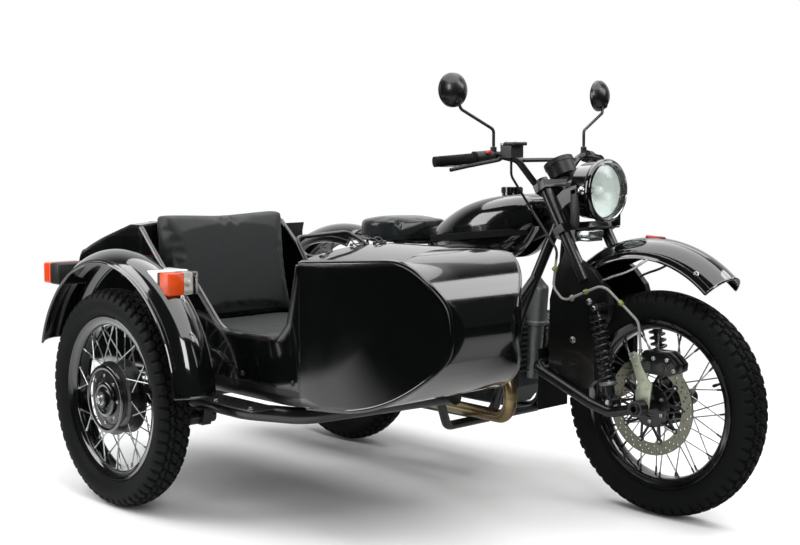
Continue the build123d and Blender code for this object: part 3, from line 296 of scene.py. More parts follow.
seatVinyl = grainedVinyl("seat_vinyl_grained", "#16191A", cellMm=2.2, rough=0.52, relief=0.35)
saddleVinyl = grainedVinyl("saddle_vinyl_coarse", "#1E2222", cellMm=8.0, rough=0.2, relief=0.16)
headGlass = thinGlass("pressed_headlamp_glass", ribMm=11.0, relief=0.12)
amberLens = ribbedLens("acrylic_amber", "#F4581C", clear=0.5)
orangeLens = ribbedLens("acrylic_orange", "#F24E1A", clear=0.5)
clearLens = ribbedLens("acrylic_clear", "#F4F2EE", clear=1.0)
redLens = ribbedLens("acrylic_red", "#C21414", clear=1.0)
print("materials made")

finishes = {
    blackGloss: ("front_mudguard", "headlamp_shell", "fuel_tank", "rear_mudguard", "sidecar_mudguard", "tank_cap"),
    bodyGloss: ("sidecar_nose", "sidecar_side_right", "sidecar_side_left", "sidecar_tail", "trunk_lid"),
    chassisBlack: ("fork_clamps", "fork_legs", "leading_link", "handlebar", "main_frame", "swingarm", "sidecar_frame",
                   "sidecar_struts", "grab_rail", "footstep", "sidecar_arm", "sidecar_floor", "saddle_base", "mirrors",
                   "front_hub", "rear_hub", "sidecar_hub", "front_rim", "rear_rim", "sidecar_rim", "brake_caliper",
                   "front_shocks", "rear_shocks"),
    tyreBlack: ("front_tyre", "rear_tyre", "sidecar_tyre"),
    softRubber: ("mud_flap", "grips"),
    castAlloy: ("cylinders",),
    darkAlloy: ("carburettors", "crankcase"),
    headerSteel: ("exhausts",),
    discSteel: ("brake_disc",),
    blackPlastic: ("instrument_pod", "controls", "side_lamps", "tail_lamp"),
    hosePlastic: ("brake_hose",),
    seatVinyl: ("sidecar_cushion", "sidecar_backrest"),
    saddleVinyl: ("saddle",),
    headGlass: ("headlamp_glass",),
}
for finish, names in finishes.items():
    for name in names:
        nodes[name].data.materials.clear()
        nodes[name].data.materials.append(finish)
print("carried-over nodes painted")


def tubeFaces(rings, sides):
    # quads between neighbouring rings of points, and a cap on each end
    faces = []
    for i in range(rings - 1):
        for j in range(sides):
            k = (j + 1) % sides
            faces.append((i * sides + j, i * sides + k, (i + 1) * sides + k, (i + 1) * sides + j))
    faces.append(tuple(range(sides - 1, -1, -1)))
    faces.append(tuple((rings - 1) * sides + j for j in range(sides)))
    return faces


def lathe(profile, base, axis, steps=64):
    # turned shape: a profile of (along, radius) in mm from base along axis
    axis = Vector(axis).normalized()
    first = axis.orthogonal().normalized()
    second = axis.cross(first)
    angles = np.linspace(0, 2 * math.pi, steps, endpoint=False)
    ringDir = np.outer(np.cos(angles), first) + np.outer(np.sin(angles), second)
    points = [np.array(base) + np.array(axis) * along / 1000 + ringDir * radius / 1000 for along, radius in profile]
    return np.concatenate(points), tubeFaces(len(profile), steps)


def closedLathe(profile, base, axis, steps=96):
    # a ring: the profile runs back to its own start
    points, faces = lathe(list(profile) + [profile[0]], base, axis, steps)
    count = len(profile) * steps
    return points[:count], [tuple(i % count for i in face) for face in faces[:-2]]


def rod(start, end, radius, sides=10):
    run = Vector(end) - Vector(start)
    return lathe([(0, radius), (run.length * 1000, radius)], start, run, sides)


def sweepTube(path, radius, sides=10):
    # a tube along points, with its cross section carried along without twist
    path = [Vector(p) for p in path]
    heads = [(path[min(i + 1, len(path) - 1)] - path[max(i - 1, 0)]).normalized() for i in range(len(path))]
    first = heads[0].orthogonal().normalized()
    points = []
    for place, head in zip(path, heads):
        first = (first - head * first.dot(head)).normalized()
        second = head.cross(first)
        for j in range(sides):
            a = 2 * math.pi * j / sides
            points.append(place + (first * math.cos(a) + second * math.sin(a)) * radius / 1000)
    return np.array(points), tubeFaces(len(path), sides)


def bentRod(corners, bendMm, radius, sides=10):
    # a stiff rod with bends of one radius at its corners, places in mm
    corners = [spot(*c) for c in corners]
    path = [corners[0]]
    for before, here, after in zip(corners, corners[1:], corners[2:]):
        back = min(bendMm / 1000, (before - here).length * 0.45, (after - here).length * 0.45)
        start = here + (before - here).normalized() * back
        end = here + (after - here).normalized() * back
        path += [start * (1 - t) ** 2 + here * 2 * t * (1 - t) + end * t * t for t in np.linspace(0, 1, 7)]
    return sweepTube(path + [corners[-1]], radius, sides)


def hexNut(centre, axis, width, height):
    # a hexagon with a chamfered crown
    corner = width / 2 / math.cos(math.pi / 6)
    return lathe([(0, corner), (height * 0.8, corner), (height, corner * 0.82)], centre, axis, 6)


def capScrew(centre, axis, radius, height):
    # a round head with a socket sunk in it
    socket = radius * 0.5
    return lathe([(0, radius), (height * 0.85, radius), (height, radius * 0.88), (height, socket),
                  (height * 0.45, socket)], centre, axis, 16)


def takeShape(shape):
    # points in metres and faces of a shape that was drawn in mm
    shape.verts.index_update()
    points = np.array([spot(*v.co) for v in shape.verts])
    faces = [tuple(v.index for v in f.verts) for f in shape.faces]
    shape.free()
    return points, faces


def roundBlock(low, high, bevelMm, taper=1.0):
    # a moulded block between two corners in mm, its edges rounded; taper narrows its front end
    shape = bmesh.new()
    bmesh.ops.create_cube(shape, size=1)
    low, high = Vector(low), Vector(high)
    for v in shape.verts:
        share = v.co + Vector((0.5, 0.5, 0.5))
        v.co = Vector(low[i] + share[i] * (high[i] - low[i]) for i in range(3))
        if share.x > 0.5:
            for i in (1, 2):
                v.co[i] = (low[i] + high[i]) / 2 + (v.co[i] - (low[i] + high[i]) / 2) * taper
    bmesh.ops.bevel(shape, geom=shape.edges[:], offset=bevelMm, segments=3, affect="EDGES", profile=0.5)
    return takeShape(shape)


def plate(outline, y0, y1, bevelMm):
    # an outline of (x, z) in mm, extruded across the machine, edges rounded
    shape = bmesh.new()
    face = shape.faces.new([shape.verts.new((x, y0, z)) for x, z in outline])
    grown = bmesh.ops.extrude_face_region(shape, geom=[face])
    for v in grown["geom"]:
        if isinstance(v, bmesh.types.BMVert):
            v.co.y = y1
    bmesh.ops.bevel(shape, geom=shape.edges[:], offset=bevelMm, segments=2, affect="EDGES", profile=0.5)
    return takeShape(shape)


def coil(top, foot, radius, wire, turns):
    # a compression spring with closed ends
    run = foot - top
    first = run.orthogonal().normalized()
    second = run.normalized().cross(first)
    path = []
    for share in np.linspace(0, 1, turns * 20 + 1):
        angle = 2 * math.pi * turns * share
        along = min(max((share - 0.06) / 0.88, 0), 1) * 0.94 + share * 0.06
        path.append(top + run * along + (first * math.cos(angle) + second * math.sin(angle)) * radius / 1000)
    return sweepTube(path, wire, 8)


def evenly(count, offset=0.0):
    return [2 * math.pi * (i + offset) / count for i in range(count)]


def onWheel(middle, radius, angle, aside=0.0):
    # a point round an axle that lies across the machine, sizes in mm
    return middle + Vector((radius * math.cos(angle), aside, radius * math.sin(angle))) / 1000


def addObject(name, data):
    made = bpy.data.objects.new(name, data)
    bpy.context.scene.collection.objects.link(made)
    return made


def joinedMesh(name, shapes):
    # one mesh of (points, faces) shapes
    points, faces, count = [], [], 0
    for shapePoints, shapeFaces in shapes:
        points.append(np.asarray(shapePoints, float))
        faces += [tuple(i + count for i in face) for face in shapeFaces]
        count += len(shapePoints)
    mesh = bpy.data.meshes.new(name)
    mesh.from_pydata(np.concatenate(points).tolist(), [], faces)
    return mesh


def faceOutward(mesh):
    fixer = bmesh.new()
    fixer.from_mesh(mesh)
    bmesh.ops.recalc_face_normals(fixer, faces=fixer.faces)
    fixer.to_mesh(mesh)
    fixer.free()


def smoothShade(mesh, sharp):
    # smooth faces, with creases kept where they meet at more than so many degrees
    mesh.polygons.foreach_set("use_smooth", [True] * len(mesh.polygons))
    mesh.set_sharp_from_angle(angle=math.radians(sharp))


def settle(made):
    # makes an object's modifiers part of its mesh
    bpy.context.view_layer.update()
    done = bpy.data.meshes.new_from_object(made.evaluated_get(bpy.context.evaluated_depsgraph_get()))
    made.modifiers.clear()
    made.data = done


def makePiece(name, body, shapes, standsFor=(), sharp=35):
    # joins (points, faces, material) shapes into one mesh that rides on a body
    mesh = joinedMesh(name, [shape[:2] for shape in shapes])
    finishList, slots = [], []
    for _, shapeFaces, finish in shapes:
        if finish not in finishList:
            finishList.append(finish)
        slots += [finishList.index(finish)] * len(shapeFaces)
    for finish in finishList:
        mesh.materials.append(finish)
    mesh.polygons.foreach_set("material_index", slots)
    made = addObject(name, mesh)
    faceOutward(mesh)
    smoothShade(mesh, sharp)
    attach(made, body)
    if standsFor:
        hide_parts(*standsFor)
    return made


def drilled(name, body, solid, holes, finish, standsFor):
    # a solid with many holes cut through it
    meshes = [joinedMesh(name, [solid]), joinedMesh(name + "Drills", holes)]
    for mesh in meshes:
        faceOutward(mesh)
    made, drills = [addObject(mesh.name, mesh) for mesh in meshes]
    cut = made.modifiers.new("drill", "BOOLEAN")
    cut.operation = "DIFFERENCE"
    cut.solver = "EXACT"
    cut.object = drills
    settle(made)
    bpy.data.objects.remove(drills)
    made.data.materials.clear()
    made.data.materials.append(finish)
    smoothShade(made.data, 35)
    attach(made, body)
    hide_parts(standsFor)


skins = {}


def touch(name, start, way):
    # where a line in mm first meets a CAD node, with the surface's own direction there
    if name not in skins:
        mesh = nodes[name].data
        world = nodes[name].matrix_world
        skins[name] = BVHTree.FromPolygons([world @ v.co for v in mesh.vertices],
                                           [p.vertices[:] for p in mesh.polygons])
    place, normal, _, _ = skins[name].ray_cast(spot(*start), Vector(way).normalized())
    return place, normal


def bolts(rows, kind, finish, width, height):
    # fasteners with washers seated on CAD nodes; a row gives the node, a start in mm and the way to look
    washer = ((-0.5, width * 0.72), (1.2, width * 0.72), (1.6, width * 0.66))
    shapes = []
    for name, start, way in rows:
        place, normal = touch(name, start, way)
        if place is not None:
            if normal.dot(Vector(way)) > 0:
                normal = -normal
            head = hexNut(place, normal, width, height) if kind == "hex" else capScrew(place, normal, width / 2, height)
            shapes.append((*head, finish))
            shapes.append((*lathe(washer, place, normal, 20), finish))
    return shapes


wheels = {
    "front": {"body": "front_wheel", "middle": (1470, 0), "hubRadius": 68, "hubHalf": 38, "lean": 32,
              "nipples": darkAlloy},
    "rear": {"body": "rear_wheel", "middle": (0, 0), "hubRadius": 116, "hubHalf": 26, "lean": 20,
             "nipples": zincPlate},
    "sidecar": {"body": "sidecar_wheel", "middle": (225, -1140), "hubRadius": 116, "hubHalf": 26, "lean": 20,
                "nipples": zincPlate},
}
axleZ = 343

# Distances of the tread are along its section from the crown: inner and outer channels, then the end of the bars
tyre = {"radius": 343, "half": 54, "shoulderRadius": 329, "shoulder": 46.4, "wallRadius": 259, "bead": 33.7,
        "seat": 241, "pitches": 58, "samples": 14, "grooveDepth": 7.5, "inner": 13, "outer": 33, "end": 72,
        "slots": (5.5, 6.5, 9.5), "channels": (4.5, 5.0), "zigzag": 2.6,
        "wallRings": ((104, 2.0), (96, 1.2)), "ringHeight": 0.8}


def arcPoint(a, b, c, share):
    # a point on the circle through three profile points
    ax, ay, bx, by, cx, cy = *a, *b, *c
    aa, bb, cc = ax * ax + ay * ay, bx * bx + by * by, cx * cx + cy * cy
    d = 2 * (ax * (by - cy) + bx * (cy - ay) + cx * (ay - by))
    ux = (aa * (by - cy) + bb * (cy - ay) + cc * (ay - by)) / d
    uy = (aa * (cx - bx) + bb * (ax - cx) + cc * (bx - ax)) / d
    r = math.hypot(ax - ux, ay - uy)
    start = math.atan2(ay - uy, ax - ux)
    end = math.atan2(cy - uy, cx - ux)
    turn = (end - start + math.pi) % (2 * math.pi) - math.pi
    angle = start + turn * share
    return ux + r * math.cos(angle), uy + r * math.sin(angle)


def smooth(edgeLow, edgeHigh, value):
    t = np.clip((value - edgeLow) / (edgeHigh - edgeLow), 0, 1)
    return t * t * (3 - 2 * t)


def makeTyre(name, values):
    # block tread cut into the tyre's own outline, shoulder bars, sidewall rings
    t = tyre
    crown = [(t["shoulderRadius"], -t["shoulder"]), (t["radius"], 0), (t["shoulderRadius"], t["shoulder"])]
    widest = ((t["wallRadius"] - 2 + t["shoulderRadius"]) / 2, t["half"])
    wall = [(t["shoulderRadius"], t["shoulder"]), widest, (t["wallRadius"], t["bead"])]
    half = [arcPoint(*crown, share) for share in np.linspace(0.5, 1, 25)]
    half += [arcPoint(*wall, share) for share in np.linspace(0.06, 1, 20)]
    half += [(t["wallRadius"] - 10, t["bead"]), (t["seat"], t["bead"])]
    profile = [(r, -y) for r, y in reversed(half[1:])] + half
    r, y = np.array(profile).T
    ahead = np.gradient(r)
    aside = np.gradient(y)
    length = np.hypot(ahead, aside)
    normalR, normalY = aside / length, -ahead / length
    fromCrown = np.concatenate([[0], np.cumsum(np.hypot(np.diff(r), np.diff(y)))])
    fromCrown -= fromCrown[len(fromCrown) // 2]
    count = t["pitches"] * t["samples"]
    turn = np.arange(count) * 2 * math.pi / count
    phase = np.arange(count) / t["samples"]
    s, p = np.meshgrid(np.abs(fromCrown), phase)
    sided = np.meshgrid(np.sign(fromCrown), phase)[0]
    pitchMm = 2 * math.pi * t["radius"] / t["pitches"]

    def bars(offset, width):
        off = np.abs(((p + offset) % 1) - 0.5) * pitchMm
        return 1 - smooth(width / 2 - 1.2, width / 2 + 1.4, off)

    def channel(centre, width):
        swing = np.sign(np.sin(2 * math.pi * (p + 0.25 * sided))) * smooth(0.0, 0.5, np.abs(np.sin(2 * math.pi * p)))
        return 1 - smooth(width / 2 - 1.0, width / 2 + 1.6, np.abs(s - centre - t["zigzag"] * swing))

    inner, outer, end = t["inner"], t["outer"], t["end"]
    cut = np.maximum.reduce([
        np.where(s < inner, bars(0.02 * s * sided, t["slots"][0]), 0),
        np.where((s >= inner) & (s < outer), bars(0.5 + 0.012 * (s - inner), t["slots"][1]), 0),
        np.where((s >= outer) & (s < end), bars(0.0, t["slots"][2]) * (1 - smooth(end - 14, end, s)), 0),
        channel(inner, t["channels"][0]), channel(outer, t["channels"][1])])
    depth = cut * (1 - smooth(end - 10, end, s)) * t["grooveDepth"]
    for place, width in t["wallRings"]:
        depth -= t["ringHeight"] * np.exp(-((s - place) / width) ** 2)
    rr = r[None, :] - depth * normalR[None, :]
    yy = y[None, :] - depth * normalY[None, :]
    x0, y0 = values["middle"]
    points = np.stack([x0 + rr * np.cos(turn)[:, None], y0 + yy, axleZ + rr * np.sin(turn)[:, None]], axis=-1)
    points = points.reshape(-1, 3) / 1000 + np.array([rearX, rearY, 0])
    columns = len(profile)
    faces = []
    for i in range(count):
        k = (i + 1) % count
        for j in range(columns):
            n = (j + 1) % columns
            faces.append((i * columns + j, i * columns + n, k * columns + n, k * columns + j))
    makePiece(name + "TyreTread", values["body"], [(points, faces, tyreBlack)], (name + "_tyre",), 50)


wireRim = {
    "section": ((-22, 228), (-10, 226.5), (10, 226.5), (22, 228), (30, 233), (34, 238), (36.5, 250), (38, 256),
                (37, 257.6), (35, 257.4), (34, 255), (33.8, 241), (20, 239.5), (-20, 239.5), (-33.8, 241), (-34, 255),
                (-35, 257.4), (-37, 257.6), (-38, 256), (-36.5, 250), (-34, 238), (-30, 233)),
    "spokes": 40, "spokeRadius": 2.1, "headOut": 2.06, "headStagger": 3, "footRadius": 226, "footAside": 16,
    "nipple": ((0, 2.3), (2, 3.2), (14, 3.4), (17, 4.4)), "nippleLong": 17,
    "valve": ((0, 5.5), (4, 5.5), (5, 4), (24, 4), (25, 5), (36, 5), (38, 3.6)), "valveTurn": 0.4,
}


def makeWireWheel(name, values):
    # rolled rim, crossed spokes with their nipples, one valve
    v = wireRim
    middle = spot(*values["middle"], axleZ)
    shapes = [(*closedLathe(v["section"], middle, across, 160), blackGloss)]
    for i, turn in enumerate(evenly(v["spokes"])):
        side = 1 if i % 2 else -1
        tilt = math.radians(values["lean"] if (i // 2) % 2 else -values["lean"])
        head = values["hubHalf"] + (v["headStagger"] if tilt > 0 else -v["headStagger"])
        start = onWheel(middle, values["hubRadius"] + v["headOut"], turn + tilt, side * head)
        end = onWheel(middle, v["footRadius"], turn, side * v["footAside"])
        run = (end - start).normalized()
        shapes.append((*rod(start, end, v["spokeRadius"], 8), zincPlate))
        shapes.append((*lathe(v["nipple"], end - run * v["nippleLong"] / 1000, run, 8), values["nipples"]))
    valve = onWheel(middle, v["footRadius"], v["valveTurn"])
    shapes.append((*lathe(v["valve"], valve, middle - valve, 12), blackPlastic))
    makePiece(name + "WireWheel", values["body"], shapes, (name + "_rim",))


for name, values in wheels.items():
    makeTyre(name, values)
    makeWireWheel(name, values)
print("tyres and wire wheels made")

disc = {"middle": (1470, -65, axleZ), "outer": 150, "inner": 112, "thick": 5,
        "rows": ((122, 0.0), (132, 0.33), (142, 0.66)), "holes": 26, "hole": 3.2}
spider = {"ring": ((-2.5, 36), (2.5, 36), (2.5, 66), (-2.5, 66)), "arms": 10, "armFoot": (60, 13), "armEnd": 109,
          "armRadius": 4.2, "buttonAt": 110, "button": ((-4.5, 7), (-3.5, 8.5), (3.5, 8.5), (4.5, 7)),
          "rivet": ((-5.2, 4), (5.2, 4)), "screws": 6, "screwsAt": 47, "face": -2.5}


def makeBrakeDisc():
    # drilled ring, floating on buttons in a black spider
    d, s = disc, spider
    middle = spot(*d["middle"])
    half = d["thick"] / 2
    section = [(-half, d["inner"]), (half, d["inner"]), (half, d["outer"]), (-half, d["outer"])]
    holes = []
    for radius, phase in d["rows"]:
        for a in evenly(d["holes"], phase):
            holes.append(rod(onWheel(middle, radius, a, -6), onWheel(middle, radius, a, 6), d["hole"], 8))
    ring = closedLathe(section, middle, across, 120)
    drilled("drilledBrakeDisc", "front_wheel", ring, holes, discSteel, "brake_disc")
    shapes = [(*closedLathe(s["ring"], middle, across, 64), chassisBlack)]
    footOut, footAside = s["armFoot"]
    for a in evenly(s["arms"]):
        out = Vector((math.cos(a), 0, math.sin(a)))
        along = Vector((-math.sin(a), 0, math.cos(a)))
        for lean in bothSides:
            foot = middle + (out * footOut + along * lean * footAside) / 1000
            shapes.append((*rod(foot, onWheel(middle, s["armEnd"], a), s["armRadius"], 8), chassisBlack))
        button = onWheel(middle, s["buttonAt"], a)
        shapes.append((*lathe(s["button"], button, across, 20), chassisBlack))
        shapes.append((*lathe(s["rivet"], button, across, 12), zincPlate))
    for a in evenly(s["screws"], 0.5):
        shapes.append((*capScrew(onWheel(middle, s["screwsAt"], a, s["face"]), (0, -1, 0), 6, 5), zincPlate))
    makePiece("discSpider", "front_wheel", shapes)


makeBrakeDisc()
print("brake disc made")

# Headlamp: domed fluted glass, reflector, bulb with its shield, rolled bezel, tray with a rectifier below it
headlamp = {
    "front": 1240, "z": 982, "glassRadius": 86, "glassFoot": 4, "glassRise": 22, "glassThick": 3.5,
    "glassRings": (86, 82, 74, 62, 48, 32, 16, 0.5),
    "bowl": ((-6, 83), (-8, 81), (-20, 75), (-33, 65), (-45, 53), (-55, 38), (-62, 24), (-65, 14), (-66, 14),
             (-64, 24), (-57, 39), (-47, 54.5), (-35, 67), (-22, 77), (-10, 82.6)),
    "bulb": ((-66, 12), (-56, 12), (-54, 8), (-40, 8), (-30, 7.6), (-26, 5), (-24.5, 1)),
    "shield": ((-34, 13), (-24, 14.5), (-18, 12), (-14.5, 7), (-13.6, 1)),
    "shieldLegs": (0.5, 2.6, 4.7), "legEnds": ((-28, 13), (-46, 52)), "legRadius": 1.2,
    "bezel": ((-9, 97.4), (-3, 99), (5, 100), (11, 98.6), (15, 94.5), (16, 90), (14.5, 87.6), (10.5, 87.2),
              (10.3, 97.2), (-4, 97.2)),
    "lip": ((14.2, 87.4), (16.4, 89.4), (15.6, 91), (13.4, 88.8)),
    "ear": ((0, 13), (4, 13), (6, 11), (7, 9.5), (12, 8), (14, 5), (14.6, 1)), "earAt": (-18, 94, 2),
    "cheek": ((1186, 985), (1206, 992), (1216, 960), (1222, 920), (1222, 868), (1190, 866), (1186, 880)),
    "cheekY": (101.5, 104), "tray": ((1186, -101, 862), (1222, 101, 867)),
    "rectifier": ((1190, -88, 836), (1250, -18, 861)), "finX": (1194, 1246), "finZ": (827, 837),
    "finY": range(-84, -20, 9), "finThick": 3,
}


def makeHeadlamp():
    v = headlamp
    base = spot(v["front"], 0, v["z"])
    ahead = (1, 0, 0)
    dome = [(v["glassFoot"] + v["glassRise"] * (1 - (r / v["glassRadius"]) ** 2), r) for r in v["glassRings"]]
    inside = [(x - v["glassThick"], max(r - 2, 0.4)) for x, r in reversed(dome)]
    glass = (*closedLathe(dome + inside, base, ahead, 64), headGlass)
    makePiece("headlampLens", "steering", [glass], ("headlamp_glass",), 60)
    shapes = [(*closedLathe(v["bowl"], base, ahead, 64), reflector),
              (*lathe(v["bulb"], base, ahead, 24), clearLens),
              (*lathe(v["shield"], base, ahead, 32), reflector)]
    for turn in v["shieldLegs"]:
        ends = [base + Vector((along, out * math.cos(turn), out * math.sin(turn))) / 1000
                for along, out in v["legEnds"]]
        shapes.append((*rod(*ends, v["legRadius"], 6), reflector))
    shapes.append((*closedLathe(v["bezel"], base, ahead, 96), blackGloss))
    shapes.append((*closedLathe(v["lip"], base, ahead, 96), brightChrome))
    earX, earY, earZ = v["earAt"]
    for side in bothSides:
        ear = spot(v["front"] + earX, side * earY, v["z"] + earZ)
        shapes.append((*lathe(v["ear"], ear, (0, side, 0), 28), brightChrome))
    for side in bothSides:
        low, high = sorted(side * y for y in v["cheekY"])
        shapes.append((*plate(v["cheek"], low, high, 0.8), blackPlastic))
    shapes.append((*roundBlock(*v["tray"], 1.5), blackPlastic))
    shapes.append((*roundBlock(*v["rectifier"], 3), zincPlate))
    (x0, x1), (z0, z1) = v["finX"], v["finZ"]
    for y in v["finY"]:
        shapes.append((*roundBlock((x0, y, z0), (x1, y + v["finThick"], z1), 0.8), zincPlate))
    makePiece("headlampOptics", "steering", shapes)


makeHeadlamp()

# Mirror glasses in the back of the domed heads, with the nuts of their stalks
mirrors = {"head": (934, 362, 1296), "turn": 8, "inset": 7.9,
           "glass": ((0, 49), (1.2, 49), (1.8, 47), (2.6, 30), (2.9, 1)),
           "ring": ((0, 50), (0, 53), (2, 53.6), (4, 52.4), (3.6, 50), (2, 49.2)),
           "nut": ((0, 8), (9, 9.5), (16, 7)), "nutAt": (22, -26), "nutWay": (-0.3, 0, -1)}


def makeMirrorGlass():
    v = mirrors
    x, y, z = v["head"]
    turn = math.radians(v["turn"])
    shapes = []
    for side in bothSides:
        back = -Vector((math.cos(turn), side * math.sin(turn), 0))
        base = spot(x, side * y, z) + back * v["inset"] / 1000
        shapes.append((*lathe(v["glass"], base, back, 48), mirrorGlass))
        shapes.append((*closedLathe(v["ring"], base, back, 64), blackPlastic))
        nut = spot(x + v["nutAt"][0], side * y, z + v["nutAt"][1])
        shapes.append((*lathe(v["nut"], nut, v["nutWay"], 16), blackPlastic))
    makePiece("mirrorGlasses", "steering", shapes)


makeMirrorGlass()
print("headlamp and mirrors made")

# Rolled edges of the mudguards; the front one also has stays, a marker and bolts
guards = {
    "frontGuardTrim": {"body": "steering", "middle": (1430, 0, 440), "radius": 405, "half": 80, "drop": 60,
                       "from": 47, "sweep": 128},
    "sidecarGuardTrim": {"body": "chassis", "middle": (238, -1135, 370), "radius": 440, "half": 70, "drop": 40,
                         "from": 4, "sweep": 160},
    "rearGuardTrim": {"body": "chassis", "middle": (0, 0, 343), "radius": 490, "half": 88, "drop": 66,
                      "from": 76, "sweep": 98},
}
frontGuardParts = {"stay": ((1262, 99, 690), (1330, 92, 722), (1400, 86, 744), (1466, 83, 786)), "stayRadius": 4,
                   "marker": ((1398, -7, 838), (1468, 7, 851)), "markerTaper": 0.45, "bolt": (1626, 160, 751)}


def guardBeads(v):
    # two rolled beads along each edge and one round each end
    cx, cy, cz = v["middle"]
    half, drop = v["half"], v["drop"]
    curve = (half * half + drop * drop) / (2 * drop)
    turns = np.radians(np.linspace(v["from"] + 0.5, v["from"] + v["sweep"] - 0.5, 70))

    def onGuard(angle, aside):
        out = v["radius"] - curve + math.sqrt(max(curve * curve - aside * aside, 0))
        return spot(cx + out * math.cos(angle), cy + aside, cz + out * math.sin(angle))

    shapes = []
    for side in bothSides:
        shapes.append((*sweepTube([onGuard(a, side * (half - 0.5)) for a in turns], 4.2, 8), blackGloss))
        shapes.append((*sweepTube([onGuard(a, side * half * 0.9) for a in turns], 2.2, 6), blackGloss))
    for a in (turns[0], turns[-1]):
        shapes.append((*sweepTube([onGuard(a, half * s) for s in np.linspace(-0.99, 0.99, 30)], 3.4, 8), blackGloss))
    return shapes


def frontGuardFittings():
    v = frontGuardParts
    shapes = []
    for side in bothSides:
        stay = [(x, side * y, z) for x, y, z in v["stay"]]
        shapes.append((*bentRod(stay, 40, v["stayRadius"]), zincPlate))
    shapes.append((*roundBlock(*v["marker"], 5, v["markerTaper"]), redPlastic))
    x, y, z = v["bolt"]
    rows = [("front_mudguard", (x, side * y, z), (0, -side, 0)) for side in bothSides]
    return shapes + bolts(rows, "cap", zincPlate, 11, 5)


for name, values in guards.items():
    fittings = frontGuardFittings() if name == "frontGuardTrim" else []
    makePiece(name, values["body"], guardBeads(values) + fittings)
print("mudguard trim made")

# Suspension units: damper body, collars and a real coil in place of the plain solids
shocks = {
    "front": {"body": "steering", "top": (1322, 632), "foot": (1378, 352), "aside": 140, "turns": 11},
    "rear": {"body": "chassis", "top": (60, 690), "foot": (20, 368), "aside": 165, "turns": 10},
}
# (along, radius) from the upper eye, and then (up, radius) from the lower one
shockUnit = {
    "upper": ((10, 9), (22, 10), (22, 26), (26, 27), (31, 26.5), (32, 12)),
    "lower": ((110, 11.5), (108, 16), (62, 16), (60, 25), (54, 26.5), (50, 25), (49, 17), (20, 17), (18, 10), (9, 9)),
    "collar": ((62, 26), (60, 27), (53, 27), (51, 25.5)),
    "coilEnds": (33, 64), "coilRadius": 22.4, "wire": 4.2,
    "eye": ((-12, 6.5), (-12, 12.4), (-10, 13.2), (10, 13.2), (12, 12.4), (12, 6.5)),
    "bush": ((-12.4, 5), (-12.4, 9), (12.4, 9), (12.4, 5)), "nutAside": 11.8,
}


def makeShocks(name, values):
    v = shockUnit
    shapes = []
    for side in bothSides:
        top, foot = (spot(x, side * values["aside"], z) for x, z in (values["top"], values["foot"]))
        run = foot - top
        long = run.length * 1000
        body = list(v["upper"]) + [(long - up, radius) for up, radius in v["lower"]]
        shapes.append((*lathe(body, top, run, 40), chassisBlack))
        collar = [(long - up, radius) for up, radius in v["collar"]]
        shapes.append((*lathe(collar, top, run, 40), castAlloy))
        first = top + run * (v["coilEnds"][0] / long)
        last = top + run * ((long - v["coilEnds"][1]) / long)
        shapes.append((*coil(first, last, v["coilRadius"], v["wire"], values["turns"]), chassisBlack))
        for eye in (top, foot):
            shapes.append((*closedLathe(v["eye"], eye, across, 32), chassisBlack))
            shapes.append((*closedLathe(v["bush"], eye, across, 24), softRubber))
            nut = eye + Vector((0, side * v["nutAside"] / 1000, 0))
            shapes.append((*hexNut(nut, (0, side, 0), 15, 8), zincPlate))
    makePiece(name + "CoilShocks", values["body"], shapes, (name + "_shocks",))


for name, values in shocks.items():
    makeShocks(name, values)
print("coil shocks made")

# Front caliper: two bolted halves over the disc, plated bracket down to the axle; (x, z) from the axle
caliper = {
    "axle": (1470, 343),
    "body": ((-18, 103), (88, 103), (116, 118), (118, 140), (98, 160), (76, 173), (0, 173), (-24, 143)),
    "halves": ((-103.4, -71.5), (-58.5, -43)), "bridges": ((4, 30), (48, 78)), "bridgeZ": (159, 172),
    "bridgeY": (-100, -46),
    "bracket": ((-22, -8), (-12, -20), (12, -20), (22, -8), (28, 36), (34, 74), (16, 92), (-6, 128), (-20, 160),
                (-32, 166), (-44, 160), (-46, 146), (-30, 104), (-18, 76), (-26, 40)),
    "bracketY": (-109.4, -103.7),
    "pistons": ((14, 126), (60, 126), (100, 130)),
    "pistonCap": ((0, 15), (2.4, 15), (3.4, 13.6), (3.4, 10), (2.2, 9.4), (2.2, 0.6)),
    "bodyScrews": ((36, 152), (84, 152), (-8, 146), (108, 122)),
    "bracketScrews": ((-33, 152, 6.5), (-23, 128, 5), (4, 84, 5), (-12, 58, 5), (16, 58, 5)),
    "pins": (22, 56), "pinZ": 156, "pinY": (-98, -48),
    "union": ((0, 7), (6, 7), (8, 5.5), (16, 5), (17, 7), (21, 7)), "unionAt": (-14, -100, 152),
}


